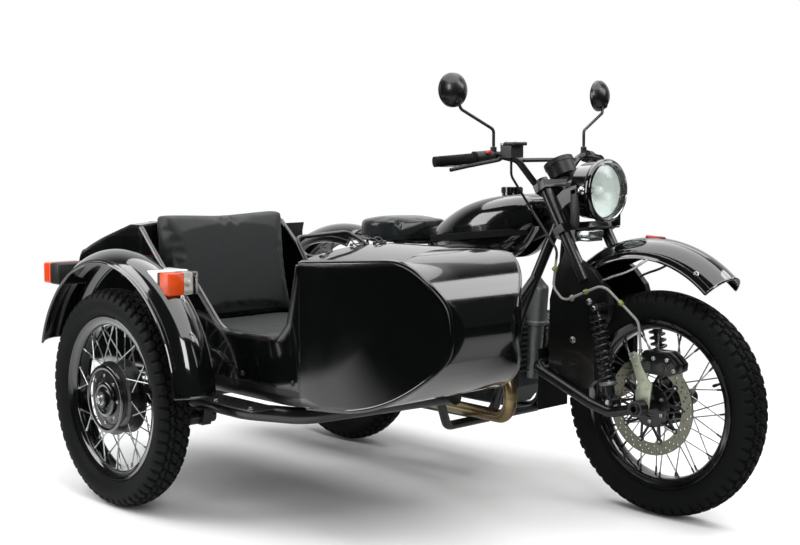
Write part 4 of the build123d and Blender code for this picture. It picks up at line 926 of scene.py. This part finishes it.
def makeCaliper():
    v = caliper
    ax, az = v["axle"]
    outward = (0, -1, 0)
    body = [(ax + x, az + z) for x, z in v["body"]]
    shapes = [(*plate(body, *half, 4), chassisBlack) for half in v["halves"]]
    z0, z1 = v["bridgeZ"]
    for x0, x1 in v["bridges"]:
        bridge = [(ax + x0, az + z0), (ax + x1, az + z0), (ax + x1 - 2, az + z1), (ax + x0 + 2, az + z1)]
        shapes.append((*plate(bridge, *v["bridgeY"], 3), chassisBlack))
    bracket = [(ax + x, az + z) for x, z in v["bracket"]]
    shapes.append((*plate(bracket, *v["bracketY"], 1.2), zincGreen))
    for x, z in v["pistons"]:
        shapes.append((*lathe(v["pistonCap"], spot(ax + x, -103.2, az + z), outward, 32), chassisBlack))
    for x, z in v["bodyScrews"]:
        shapes.append((*capScrew(spot(ax + x, -103, az + z), outward, 6, 5.5), zincPlate))
    for x, z, radius in v["bracketScrews"]:
        shapes.append((*capScrew(spot(ax + x, -109.2, az + z), outward, radius, 3.2), zincPlate))
    for x in v["pins"]:
        shapes.append((*rod(*(spot(ax + x, y, az + v["pinZ"]) for y in v["pinY"]), 3, 10), discSteel))
    x, y, z = v["unionAt"]
    shapes.append((*lathe(v["union"], spot(ax + x, y, az + z), (0, 0, 1), 16), zincPlate))
    makePiece("frontCaliper", "steering", shapes, ("brake_caliper",))


makeCaliper()

# Fasteners, plugs and hose clips of the front end
frontEnd = {
    "forkBolts": ((1200, 650), (1268, 644), (1205, 520)), "linkPlugs": ((1290, 376), (1378, 340)),
    "axleEnd": (1470, 145, 343), "axleCap": ((0, 17), (5, 17), (8, 15), (9, 11), (7, 9), (7, 1)),
    "clips": (((1163, -147, 742), (-0.12, -0.02, -1)), ((1285, -146.9, 679.5), (1, 0.01, 0.41)),
              ((1403, -129, 653), (1, 0.32, -1))),
    "clipBand": ((-7, 4.4), (-7, 7), (-5, 8), (5, 8), (7, 7), (7, 4.4)),
}


def makeFrontFasteners():
    v = frontEnd
    forkRows = [("fork_legs", (x, side * 300, z), (0, -side, 0)) for side in bothSides for x, z in v["forkBolts"]]
    plugRows = [("leading_link", (x, side * 300, z), (0, -side, 0)) for x, z in v["linkPlugs"] for side in bothSides]
    shapes = bolts(forkRows, "hex", zincPlate, 15, 9) + bolts(plugRows, "cap", zincPlate, 15, 4)
    x, y, z = v["axleEnd"]
    for side in bothSides:
        shapes.append((*lathe(v["axleCap"], spot(x, side * y, z), (0, side, 0), 28), blackPlastic))
    for (x, y, z), way in v["clips"]:
        shapes.append((*closedLathe(v["clipBand"], spot(x, y, z), way, 20), clipGreen))
        shapes.append((*hexNut(spot(x, y - 7, z), (0, -1, 0), 9, 5), zincPlate))
    makePiece("frontFasteners", "steering", shapes)


makeFrontFasteners()
print("caliper and front fasteners made")

# Marker lamps on the sidecar guard: two-colour lens ahead, orange lens behind, on bent brackets
lampBoxes = {
    "front": {"x": (392, 494), "lens": (500, 552), "y": (-1164, -1052), "z": (686, 757), "split": -1105,
              "bracket": ((440, -1128, 640), (448, -1128, 690), (476, -1128, 700)), "nut": (491, -1150, 685),
              "bulb": ((0, 6), (6, 6), (7, 8), (14, 9), (20, 6), (22, 1))},
    "rear": {"x": (-104, -46), "lens": (-150, -104), "y": (-1194, -1074), "z": (680, 750),
             "bracket": ((-98, -1135, 700), (-70, -1135, 700), (-62, -1135, 676))},
    "inset": 1.5, "gap": 0.4, "bracketRadius": 6,
}


def makeMarkerLamps():
    inset, gap, thick = lampBoxes["inset"], lampBoxes["gap"], lampBoxes["bracketRadius"]
    v = lampBoxes["front"]
    (x0, x1), (y0, y1), (z0, z1), split = v["x"], v["y"], v["z"], v["split"]
    lens0, lens1 = v["lens"]
    low, high = z0 + inset, z1 - inset
    amber = (lens0 + gap, y0 + inset, low), (lens1, split - gap, high)
    clear = (lens0 + gap, split + gap, low), (lens1 - 2, y1 - inset, high)
    # the front marker lamp's housing is painted pale grey in place of the reflection it shows
    shapes = [(*roundBlock((x0, y0, z0), (x1, y1, z1), 5), paleGreyPaintedReflection),
              (*roundBlock((x1 - 1, y0 + 2, z0 + 2), (lens0 + 1, y1 - 2, z1 - 2), 1), blackPlastic),
              (*roundBlock(*amber, 6), amberLens), (*roundBlock(*clear, 6), clearLens)]
    for near, far in ((y0 + 8, split - 7), (split + 6, y1 - 7)):
        shapes.append((*roundBlock((lens0 + 4, near, z0 + 8), (lens0 + 7, far, z1 - 8), 1), reflector))
        middle = spot(lens0 + 7, (near + far) / 2, (z0 + z1) / 2)
        shapes.append((*lathe(v["bulb"], middle, (1, 0, 0), 18), reflector))
    shapes.append((*bentRod(v["bracket"], 12, thick), chassisBlack))
    shapes.append((*hexNut(spot(*v["nut"]), (0, 0, -1), 13, 9), zincPlate))
    v = lampBoxes["rear"]
    (x0, x1), (y0, y1), (z0, z1) = v["x"], v["y"], v["z"]
    lens0, lens1 = v["lens"]
    orange = (lens0, y0 + inset, z0 + inset), (lens1 - gap, y1 - inset, z1 - inset)
    shapes += [(*roundBlock((x0, y0, z0), (x1, y1, z1), 7), blackPlastic),
               (*roundBlock(*orange, 6), orangeLens),
               (*roundBlock((lens1 - 3, y0 + 8, z0 + 8), (lens1 - 0.6, y1 - 8, z1 - 8), 1), reflector),
               (*bentRod(v["bracket"], 10, thick), chassisBlack)]
    makePiece("markerLamps", "chassis", shapes, ("side_lamps",))


makeMarkerLamps()

# Tail lamp lens with its reflector
tailLens = {"lens": ((-461, -46, 756), (-444, 46, 808)), "plate": ((-446, -40, 762), (-443.5, 40, 802))}
makePiece("tailLens", "chassis", [(*roundBlock(*tailLens["lens"], 6), redLens),
                                  (*roundBlock(*tailLens["plate"], 1), reflector)])

# Rubber strips along the tank's flanks, ribs round its cap
tankTrim = {"x": (560, 985), "z": 806, "rise": 0.1, "lines": (-9, -4.5, 0, 4.5, 9), "lineRadius": 3.2,
            "cap": (850, 0, 984), "ribs": 20, "ribsAt": 34, "ribFoot": -16, "ribLong": 17, "ribRadius": 2.2}


def makeTankTrim():
    v = tankTrim
    shapes = []
    for side in bothSides:
        path = []
        for x in np.linspace(*v["x"], 40):
            place, _ = touch("fuel_tank", (x, side * 400, v["z"] + (x - v["x"][0]) * v["rise"]), (0, -side, 0))
            if place is not None:
                path.append(place)
        for lift in v["lines"]:
            line = [p + Vector((0, 0, lift / 1000)) for p in path]
            shapes.append((*sweepTube(line, v["lineRadius"], 8), softRubber))
    cap = spot(*v["cap"])
    for a in evenly(v["ribs"]):
        foot = cap + Vector((v["ribsAt"] * math.cos(a), v["ribsAt"] * math.sin(a), v["ribFoot"])) / 1000
        shapes.append((*rod(foot, foot + Vector((0, 0, v["ribLong"] / 1000)), v["ribRadius"], 6), chassisBlack))
    makePiece("tankTrim", "chassis", shapes)


makeTankTrim()
print("lamps and tank trim made")

# Padding: each CAD pad is taken a little smaller, remeshed, swollen by cloth pressure and sewn
pads = {
    "sidecar_backrest": {"piece": "backrestPad", "finish": seatVinyl, "voxel": 6, "shrink": 7, "cap": 12, "round": 34,
                         "fill": 0.7,
                         "seam": ((130, -936, 562), (120, -936, 906), (120, -444, 906), (130, -444, 562))},
    "sidecar_cushion": {"piece": "cushionPad", "finish": seatVinyl, "voxel": 6, "shrink": 8, "cap": 16, "round": 26,
                        "fill": 0.65,
                        "seam": ((204, -914, 554), (616, -914, 530), (616, -466, 530), (204, -466, 554))},
    "saddle": {"piece": "saddlePad", "finish": saddleVinyl, "voxel": 5, "shrink": 6, "cap": 9, "round": 10,
               "fill": 0.8, "beak": {"x": (380, 505), "rise": 0.6}},
}
padCloth = {"pressure": 2.5, "quality": 5, "stretch": 18, "bend": 8.0, "frames": 20, "below": 2, "above": 4}
pipingRadius = 3.2
pathGap = 0.008  # metres between the points of a path that follows a surface


def pointsOf(mesh):
    return np.array([v.co for v in mesh.vertices])


def reshape(mesh, points):
    mesh.vertices.foreach_set("co", points.ravel())
    mesh.update()


def swell(pad, mostMm, low, high):
    # a short run of cloth under pressure; no point moves further than mostMm or far out of the pad's box
    before = pointsOf(pad.data)
    cloth = pad.modifiers.new("swell", "CLOTH").settings
    cloth.use_pressure = True
    cloth.uniform_pressure_force = padCloth["pressure"]
    cloth.effector_weights.gravity = 0
    cloth.quality = padCloth["quality"]
    cloth.tension_stiffness = padCloth["stretch"]
    cloth.compression_stiffness = padCloth["stretch"]
    cloth.bending_stiffness = padCloth["bend"]
    for step in range(1, padCloth["frames"] + 1):
        bpy.context.scene.frame_set(step)
    settle(pad)
    bpy.context.scene.frame_set(1)
    move = pointsOf(pad.data) - before
    far = np.linalg.norm(move, axis=1, keepdims=True)
    after = before + move * np.minimum(1, mostMm / 1000 / np.maximum(far, 1e-9))
    reshape(pad.data, np.clip(after, low - padCloth["below"] / 1000, high + padCloth["above"] / 1000))


def makePad(node, v):
    source = nodes[node]
    corners = np.array([source.matrix_world @ p.co for p in source.data.vertices])
    low, high = corners.min(0), corners.max(0)
    middle = (low + high) / 2
    share = 1 - 2 * v["shrink"] / 1000 / (high - low)
    smaller = middle + (corners - middle) * share
    pad = addObject(v["piece"], joinedMesh(v["piece"], [(smaller, [p.vertices[:] for p in source.data.polygons])]))
    grid = pad.modifiers.new("grid", "REMESH")
    grid.mode = "VOXEL"
    grid.voxel_size = v["voxel"] / 1000
    pad.modifiers.new("soft", "SMOOTH").iterations = v["round"]
    settle(pad)
    swell(pad, v["cap"], low, high)
    if "beak" in v:
        # the underside rises to a thin beak at the front
        start, end = (spot(x, 0, 0).x for x in v["beak"]["x"])
        shape = pointsOf(pad.data)
        rise = smooth(start, end, shape[:, 0]) * v["beak"]["rise"]
        top = shape[:, 2].max()
        shape[:, 2] = top - (top - shape[:, 2]) * (1 - rise)
        reshape(pad.data, shape)
    pad.modifiers.new("finer", "SUBSURF").levels = 1
    settle(pad)
    pad.data.materials.clear()
    pad.data.materials.append(v["finish"])
    pad.data.polygons.foreach_set("use_smooth", [True] * len(pad.data.polygons))
    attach(pad, "chassis")
    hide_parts(node)
    return pad


def alongRing(ring, least):
    # points at even gaps along the sides of a closed outline
    path = []
    for a, b in zip(ring, ring[1:] + ring[:1]):
        shares = np.linspace(0, 1, max(least, int((b - a).length / pathGap)), endpoint=False)
        path += [a.lerp(b, t) for t in shares]
    return path


def seam(pad, outline, radius):
    # piping sewn along a closed outline in mm, laid on the pad's own surface
    tree = BVHTree.FromPolygons([p.co.copy() for p in pad.data.vertices], [p.vertices[:] for p in pad.data.polygons])
    path = [tree.find_nearest(place)[0] for place in alongRing([spot(*c) for c in outline], 2)]
    for _ in range(6):
        path = [(path[i - 1] + path[i] * 2 + path[(i + 1) % len(path)]) / 4 for i in range(len(path))]
    return sweepTube(path + path[:2], radius, 8)


piping = []
for node, v in pads.items():
    pad = makePad(node, v)
    if "seam" in v:
        piping.append((*seam(pad, v["seam"], pipingRadius), v["finish"]))
makePiece("seatPiping", "chassis", piping)
print("padding made")

# Perforated step: a plate with rounded edges, drilled in staggered rows
step = {"low": (442, -1077, 372.4), "high": (838, -983, 376.6), "edge": 1.2, "pitch": 14, "rowPitch": 0.86, "hole": 3.2,
        "marginX": (14, 12), "marginY": (12, 10)}


def makeStep():
    v = step
    (x0, y0, z0), (x1, y1, z1) = v["low"], v["high"]
    holes = []
    rows = np.arange(y0 + v["marginY"][0], y1 - v["marginY"][1], v["pitch"] * v["rowPitch"])
    for row, y in enumerate(rows):
        first = x0 + v["marginX"][0] + (row % 2) * v["pitch"] / 2
        for x in np.arange(first, x1 - v["marginX"][1], v["pitch"]):
            holes.append(rod(spot(x, y, z0 - 3), spot(x, y, z1 + 3), v["hole"], 8))
    drilled("perforatedStep", "chassis", roundBlock(v["low"], v["high"], v["edge"]), holes, chassisBlack, "footstep")


makeStep()

# Pressed ridge round each cheek of the sidecar's nose, following the cheek's own outline
noseRidge = {"facing": 0.4, "radius": 6.5, "rounding": 30, "openMm": 12}


def hullHalf(places):
    # one half of the convex outline of places, seen from the side and sorted along it
    half = []
    for c in places:
        while len(half) > 1:
            a, b = half[-2:]
            if (b.x - a.x) * (c.z - a.z) - (b.z - a.z) * (c.x - a.x) > 0:
                break
            half.pop()
        half.append(c)
    return half[:-1]


def makeNoseRidge():
    v = noseRidge
    skin = nodes["sidecar_nose"]
    mesh, world = skin.data, skin.matrix_world
    shapes = []
    for side in bothSides:
        cheek = [f for f in mesh.polygons if (world.to_3x3() @ f.normal).y * side > v["facing"]]
        corners = {i for f in cheek for i in f.vertices}
        places = sorted((world @ mesh.vertices[i].co for i in corners), key=lambda c: (c.x, c.z))
        path = alongRing(hullHalf(places) + hullHalf(places[::-1]), 1)
        start = min(range(len(path)), key=lambda i: path[i].x * 4 - path[i].z)
        path = path[start:] + path[:start]
        if path[20].z < path[0].z - 0.05:
            path = path[:1] + path[:0:-1]
        edge = min(c.x for c in path) + v["openMm"] / 1000
        path = [c for c in path if c.x > edge]
        for _ in range(v["rounding"]):
            inner = [(path[i - 1] + path[i] * 2 + path[i + 1]) / 4 for i in range(1, len(path) - 1)]
            path = path[:1] + inner + path[-1:]
        shapes.append((*sweepTube(path, v["radius"], 12), blackGloss))
    makePiece("noseRidge", "chassis", shapes)


makeNoseRidge()

# Sidecar fittings: cover hooks on the cowl, bolts of the body, the step and the wheel arm
sidecar = {
    "hookX": (925, 947), "hooksY": (-885, -768, -678), "hookHalf": 11, "hookZ": (17, 1.5), "wire": 1.9,
    "barX": 937, "barHalf": 25, "barZ": 6, "postAside": 20, "post": ((0, 6), (2, 6), (3, 4.6), (6, 4)),
    "bodyBolts": ((180, 452), (420, 452), (660, 452), (900, 452)),
    "stepBolts": ((470, -1062), (640, -1062), (810, -1062)),
    "armBolts": (("sidecar_frame", (473, -1300, 300), across), ("sidecar_arm", (225, -1400, 343), across)),
}


def makeSidecarFittings():
    v = sidecar
    (x0, x1), half, barX, barZ = v["hookX"], v["hookHalf"], v["barX"], v["barZ"]
    shapes = []
    for y in v["hooksY"]:
        place, _ = touch("sidecar_nose", ((x0 + x1) / 2, y, 1100), (0, 0, -1))
        z = place.z * 1000
        high, low = (z + lift for lift in v["hookZ"])
        hook = [(x0, y - half, high), (x0, y + half, high), (x1, y + half, low), (x1, y - half, low),
                (x0, y - half, high)]
        shapes.append((*bentRod(hook, 6, v["wire"], 8), chassisBlack))
        bar = [spot(barX, y + side * v["barHalf"], z + barZ) for side in bothSides]
        shapes.append((*rod(*bar, v["wire"], 8), chassisBlack))
        for side in bothSides:
            foot = spot(barX, y + side * v["postAside"], z)
            shapes.append((*lathe(v["post"], foot, (0, 0, 1), 14), chassisBlack))
    bodyRows = [("sidecar_side_right", (x, -1200, z), across) for x, z in v["bodyBolts"]]
    stepRows = [("footstep", (x, y, 600), (0, 0, -1)) for x, y in v["stepBolts"]]
    shapes += bolts(bodyRows, "cap", chassisBlack, 12, 3.5)
    shapes += bolts(stepRows, "hex", zincPlate, 13, 7)
    shapes += bolts(v["armBolts"], "hex", zincPlate, 24, 12)
    makePiece("sidecarFittings", "chassis", shapes)


makeSidecarFittings()

# Turned rings and screws on the outer faces of the two large hubs
hubTrim = {"wheels": ("sidecar", "rear"), "screws": 8, "screwsAt": 74,
           "outerRing": ((-1, 92), (2.5, 92), (4, 96), (4, 103), (2, 107), (-1, 107)),
           "innerRing": ((-1, 40), (5, 40), (7, 44), (7, 50), (4, 55), (-1, 55))}


def makeHubTrim(name):
    v = hubTrim
    outward = (0, -1, 0)
    low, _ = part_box(name + "_hub")
    base = spot(*wheels[name]["middle"], axleZ)
    base.y = low.y
    shapes = [(*closedLathe(v["outerRing"], base, outward, 72), blackGloss),
              (*closedLathe(v["innerRing"], base, outward, 64), blackGloss)]
    for a in evenly(v["screws"]):
        shapes.append((*capScrew(onWheel(base, v["screwsAt"], a), outward, 5, 4), zincPlate))
    makePiece(name + "HubTrim", name + "_wheel", shapes)


for name in hubTrim["wheels"]:
    makeHubTrim(name)
print("step and sidecar fittings made")

# Engine dress: turned generator tower on the front, rows of fins, round side covers with their screws
engine = {
    "tower": ((-16, 1), (-15, 9), (-8, 15), (4, 26), (12, 34), (20, 36), (126, 36), (130, 39), (140, 39), (144, 30),
              (310, 28), (322, 24), (324, 1)),
    "towerTop": (968, 0, 676), "towerWay": (-0.09, 0, -1),
    "finX": (936, 966), "finY": (40, 84), "finZ": range(384, 540, 18), "finThick": 6,
    "coverAt": (690, 450), "cover": ((0, 66), (5, 66), (9, 62), (11, 52), (11, 34), (14, 28), (15, 1)),
    "coverScrews": 6, "screwsAt": 58, "screwsOut": 7,
}


def makeEngineCovers():
    v = engine
    shapes = [(*lathe(v["tower"], spot(*v["towerTop"]), v["towerWay"], 48), castAlloy)]
    x0, x1 = v["finX"]
    for z in v["finZ"]:
        for side in bothSides:
            low, high = sorted(side * y for y in v["finY"])
            shapes.append((*roundBlock((x0, low, z), (x1, high, z + v["finThick"]), 1.5), darkAlloy))
    x, z = v["coverAt"]
    for side in bothSides:
        place, _ = touch("crankcase", (x, side * 400, z), (0, -side, 0))
        shapes.append((*lathe(v["cover"], place, (0, side, 0), 56), castAlloy))
        for a in evenly(v["coverScrews"]):
            at = onWheel(place, v["screwsAt"], a, side * v["screwsOut"])
            shapes.append((*capScrew(at, (0, side, 0), 4.5, 5), zincPlate))
    makePiece("engineCovers", "chassis", shapes)


makeEngineCovers()
print("engine dress made")

# Switchgear: kill switch, reservoir cap with screws, lever pivots
switches = {"kill": ((976, -266, 1098), (990, -250, 1108)), "capFrom": (1050, -205, 1300), "capX": (-27, 23),
            "capY": (-236, -176), "capZ": (-2, 9), "screwX": (-20, 16), "screwY": (-229, -183), "screwZ": 8.6,
            "pivot": (1010, 224, 1300)}


def makeSwitchgear():
    v = switches
    down = (0, 0, -1)
    shapes = [(*roundBlock(*v["kill"], 3), redPlastic)]
    place, _ = touch("controls", v["capFrom"], down)
    if place is not None:
        x, z = (place.x - rearX) * 1000, place.z * 1000
        (x0, x1), (y0, y1), (z0, z1) = v["capX"], v["capY"], v["capZ"]
        shapes.append((*roundBlock((x + x0, y0, z + z0), (x + x1, y1, z + z1), 4), blackPlastic))
        for screwY in v["screwY"]:
            for screwX in v["screwX"]:
                at = spot(x + screwX, screwY, z + v["screwZ"])
                shapes.append((*capScrew(at, (0, 0, 1), 3, 2), zincPlate))
    x, y, z = v["pivot"]
    shapes += bolts([("controls", (x, side * y, z), down) for side in bothSides], "hex", zincPlate, 11, 6)
    makePiece("switchgear", "steering", shapes)


makeSwitchgear()

# Grip ribs: fine rings moulded round the rubber
grips = {"inner": (960, 300, 1300), "outer": (905, 395, 1300), "radius": 16.5, "ribs": 26,
         "rib": ((-0.9, 16.2), (-0.9, 17.3), (0.9, 17.3), (0.9, 16.2))}


def makeGripRibs():
    v = grips
    shapes = []
    for side in bothSides:
        ends = [touch("grips", (x, side * y, z), (0, 0, -1))[0] for x, y, z in (v["inner"], v["outer"])]
        if None not in ends:
            run = ends[1] - ends[0]
            for share in np.linspace(0, 1, v["ribs"]):
                at = ends[0] + run * share - Vector((0, 0, v["radius"] / 1000))
                shapes.append((*closedLathe(v["rib"], at, run, 28), softRubber))
    if shapes:
        makePiece("gripRibs", "steering", shapes)


makeGripRibs()
print("switchgear made")

# Studio: pale floor that fades to white, a white backdrop and five soft lamps; lengths in metres
studio = {
    "floor": "#F2F3F2", "floorRadius": 14.0, "floorZ": -0.0005, "fade": (1.7, 3.6), "unlit": "#1A1B1B",
    # way, start, end and share of each edge of the white sweep under the machine
    "sweepEdges": (((0.73, -0.68, 0.0), 1.2, 2.6, 1.0), ((0.68, 0.73, 0.0), 0.0, 0.9, 0.62),
                   ((0.68, 0.73, 0.0), 2.4, 2.8, 1.0), ((-0.78, -0.62, 0.0), 2.6, 3.1, 1.0)),
    "worldLight": 0.55, "backdropWay": (-0.73, 0.68, 0.0), "backdropEdge": (0.3, 0.75), "mirrored": (0.04, 0.75),
}
lamps = {
    "overheadSoftbox": {"at": (0.2, 0.3, 3.6), "aim": (0, 0, 0), "size": (5.8, 3.8), "power": 190, "up": (0, 1, 0)},
    "frontStrip": {"at": (2.9, -1.6, 2.3), "aim": (0.3, -0.2, 0.7), "size": (0.9, 1.5), "power": 38},
    "noseSoftbox": {"at": (1.62, 1.5, 2.06), "aim": (0.69, -0.26, 0.74), "size": (1.3, 0.78), "power": 13,
                    "up": (-0.75, 0.02, 0.66)},
    "backSoftbox": {"at": (-0.7, 2.9, 3.5), "aim": (0.6, -0.2, 0.8), "size": (2.4, 1.0), "power": 10},
    "tankWindow": {"at": (-0.9, -1.57, 1.5), "aim": (0.19, 0.26, 0.88), "size": (0.95, 1.5), "power": 24},
}


def makeFloor():
    v = studio
    mesh = bpy.data.meshes.new("studioFloor")
    shape = bmesh.new()
    bmesh.ops.create_circle(shape, cap_ends=True, cap_tris=True, segments=96, radius=v["floorRadius"])
    shape.to_mesh(mesh)
    shape.free()
    floor = addObject("studioFloor", mesh)
    floor.location.z = v["floorZ"]
    made, tree, place = newMaterial("painted_studio_floor")
    away = put(tree, "ShaderNodeVectorMath", {"operation": "LENGTH"}, {0: place})
    far = put(tree, "ShaderNodeMapRange", {"From Min": v["fade"][0], "From Max": v["fade"][1],
                                           "interpolation_type": "SMOOTHSTEP"}, {"Value": away.outputs["Value"]})
    path = put(tree, "ShaderNodeLightPath")
    seen = put(tree, "ShaderNodeMath", {"operation": "MAXIMUM"},
               {0: path.outputs["Is Camera Ray"], 1: path.outputs["Is Glossy Ray"]})
    seenAll = put(tree, "ShaderNodeMath", {"operation": "MAXIMUM"},
                  {0: seen.outputs[0], 1: path.outputs["Is Transmission Ray"]})
    fade = put(tree, "ShaderNodeMath", {"operation": "MULTIPLY"}, {0: far.outputs[0], 1: seenAll.outputs[0]})
    matt = put(tree, "ShaderNodeBsdfDiffuse", {"Color": srgb(v["floor"])})
    white = put(tree, "ShaderNodeEmission", {"Color": srgb("#FFFFFF"), "Strength": 1.0})
    both = put(tree, "ShaderNodeMixShader", None, {0: fade.outputs[0], 1: matt.outputs[0], 2: white.outputs[0]})
    # past the edges of the white sweep the unlit studio floor shows dark in the paint
    edges = []
    for way, start, end, most in v["sweepEdges"]:
        along = put(tree, "ShaderNodeVectorMath", {"operation": "DOT_PRODUCT", 1: way}, {0: place})
        edges.append(put(tree, "ShaderNodeMapRange", {"From Min": start, "From Max": end, "To Max": most,
                                                      "interpolation_type": "SMOOTHSTEP"},
                         {"Value": along.outputs["Value"]}))
    unlit = edges[0]
    for edge in edges[1:]:
        unlit = put(tree, "ShaderNodeMath", {"operation": "MAXIMUM"}, {0: unlit.outputs[0], 1: edge.outputs[0]})
    dim = put(tree, "ShaderNodeMath", {"operation": "MULTIPLY"},
              {0: unlit.outputs[0], 1: path.outputs["Is Glossy Ray"]})
    dark = put(tree, "ShaderNodeBsdfDiffuse", {"Color": srgb(v["unlit"])})
    shown = put(tree, "ShaderNodeMixShader", None, {0: dim.outputs[0], 1: both.outputs[0], 2: dark.outputs[0]})
    put(tree, "ShaderNodeOutputMaterial", None, {"Surface": shown.outputs[0]})
    mesh.materials.append(made)


def makeWorld():
    # white behind the machine, dim in the paint on the photographer's side
    v = studio
    world = bpy.data.worlds.new("studioWorld")
    bpy.context.scene.world = world
    world.use_nodes = True
    tree = world.node_tree
    tree.nodes.clear()
    place = put(tree, "ShaderNodeTexCoord")
    toBackdrop = put(tree, "ShaderNodeVectorMath", {"operation": "DOT_PRODUCT", 1: v["backdropWay"]},
                     {0: place.outputs["Generated"]})
    depth = put(tree, "ShaderNodeMapRange", {"From Min": v["backdropEdge"][0], "From Max": v["backdropEdge"][1],
                                             "To Min": v["mirrored"][0], "To Max": v["mirrored"][1],
                                             "interpolation_type": "SMOOTHSTEP"},
                {"Value": toBackdrop.outputs["Value"]})
    path = put(tree, "ShaderNodeLightPath")
    shown = put(tree, "ShaderNodeMath", {"operation": "MAXIMUM"},
                {0: depth.outputs[0], 1: path.outputs["Is Camera Ray"]})
    glossy = put(tree, "ShaderNodeBackground", {"Color": srgb("#FFFFFF")}, {"Strength": shown.outputs[0]})
    light = put(tree, "ShaderNodeBackground", {"Color": srgb("#FFFFFF"), "Strength": v["worldLight"]})
    seen = put(tree, "ShaderNodeMath", {"operation": "MAXIMUM"},
               {0: path.outputs["Is Camera Ray"], 1: path.outputs["Is Transmission Ray"]})
    seenAll = put(tree, "ShaderNodeMath", {"operation": "MAXIMUM"},
                  {0: seen.outputs[0], 1: path.outputs["Is Glossy Ray"]})
    mixed = put(tree, "ShaderNodeMixShader", None, {0: seenAll.outputs[0], 1: light.outputs[0], 2: glossy.outputs[0]})
    put(tree, "ShaderNodeOutputWorld", None, {"Surface": mixed.outputs[0]})


def makeLamp(name, v):
    data = bpy.data.lights.new(name, "AREA")
    data.shape = "RECTANGLE"
    data.size, data.size_y = v["size"]
    data.energy = v["power"]
    back = (Vector(v["at"]) - Vector(v["aim"])).normalized()
    side = Vector(v.get("up", (0, 0.01, 1))).cross(back).normalized()
    turn = Matrix((side, back.cross(side), back)).transposed().to_4x4()
    addObject(name, data).matrix_world = Matrix.Translation(v["at"]) @ turn


makeFloor()
makeWorld()
for name, values in lamps.items():
    makeLamp(name, values)

# Camera: placed where the photograph was taken from; angles in degrees, picture sizes in pixels
camera = {"at": (3742, -3215, 1108), "yaw": 47.01, "pitch": -5.08, "roll": -0.26, "picture": (800, 545),
          "focal": 1285, "middle": (399, 265.5), "sensorMm": 36}


def makeCamera():
    v = camera
    wide, high = v["picture"]
    data = bpy.data.cameras.new("photoCamera")
    data.sensor_width = v["sensorMm"]
    data.lens = v["focal"] * v["sensorMm"] / wide
    data.shift_x = (wide / 2 - v["middle"][0]) / wide
    data.shift_y = (v["middle"][1] - high / 2) / wide
    turn = Matrix.Rotation(math.radians(v["yaw"]), 4, "Z") @ Matrix.Rotation(math.radians(90 + v["pitch"]), 4, "X")
    turn = turn @ Matrix.Rotation(math.radians(v["roll"]), 4, "Z")
    made = addObject("photoCamera", data)
    made.matrix_world = Matrix.Translation(spot(*v["at"])) @ turn
    bpy.context.scene.camera = made


makeCamera()
bpy.context.scene.view_settings.view_transform = "Standard"
print("studio and camera set")
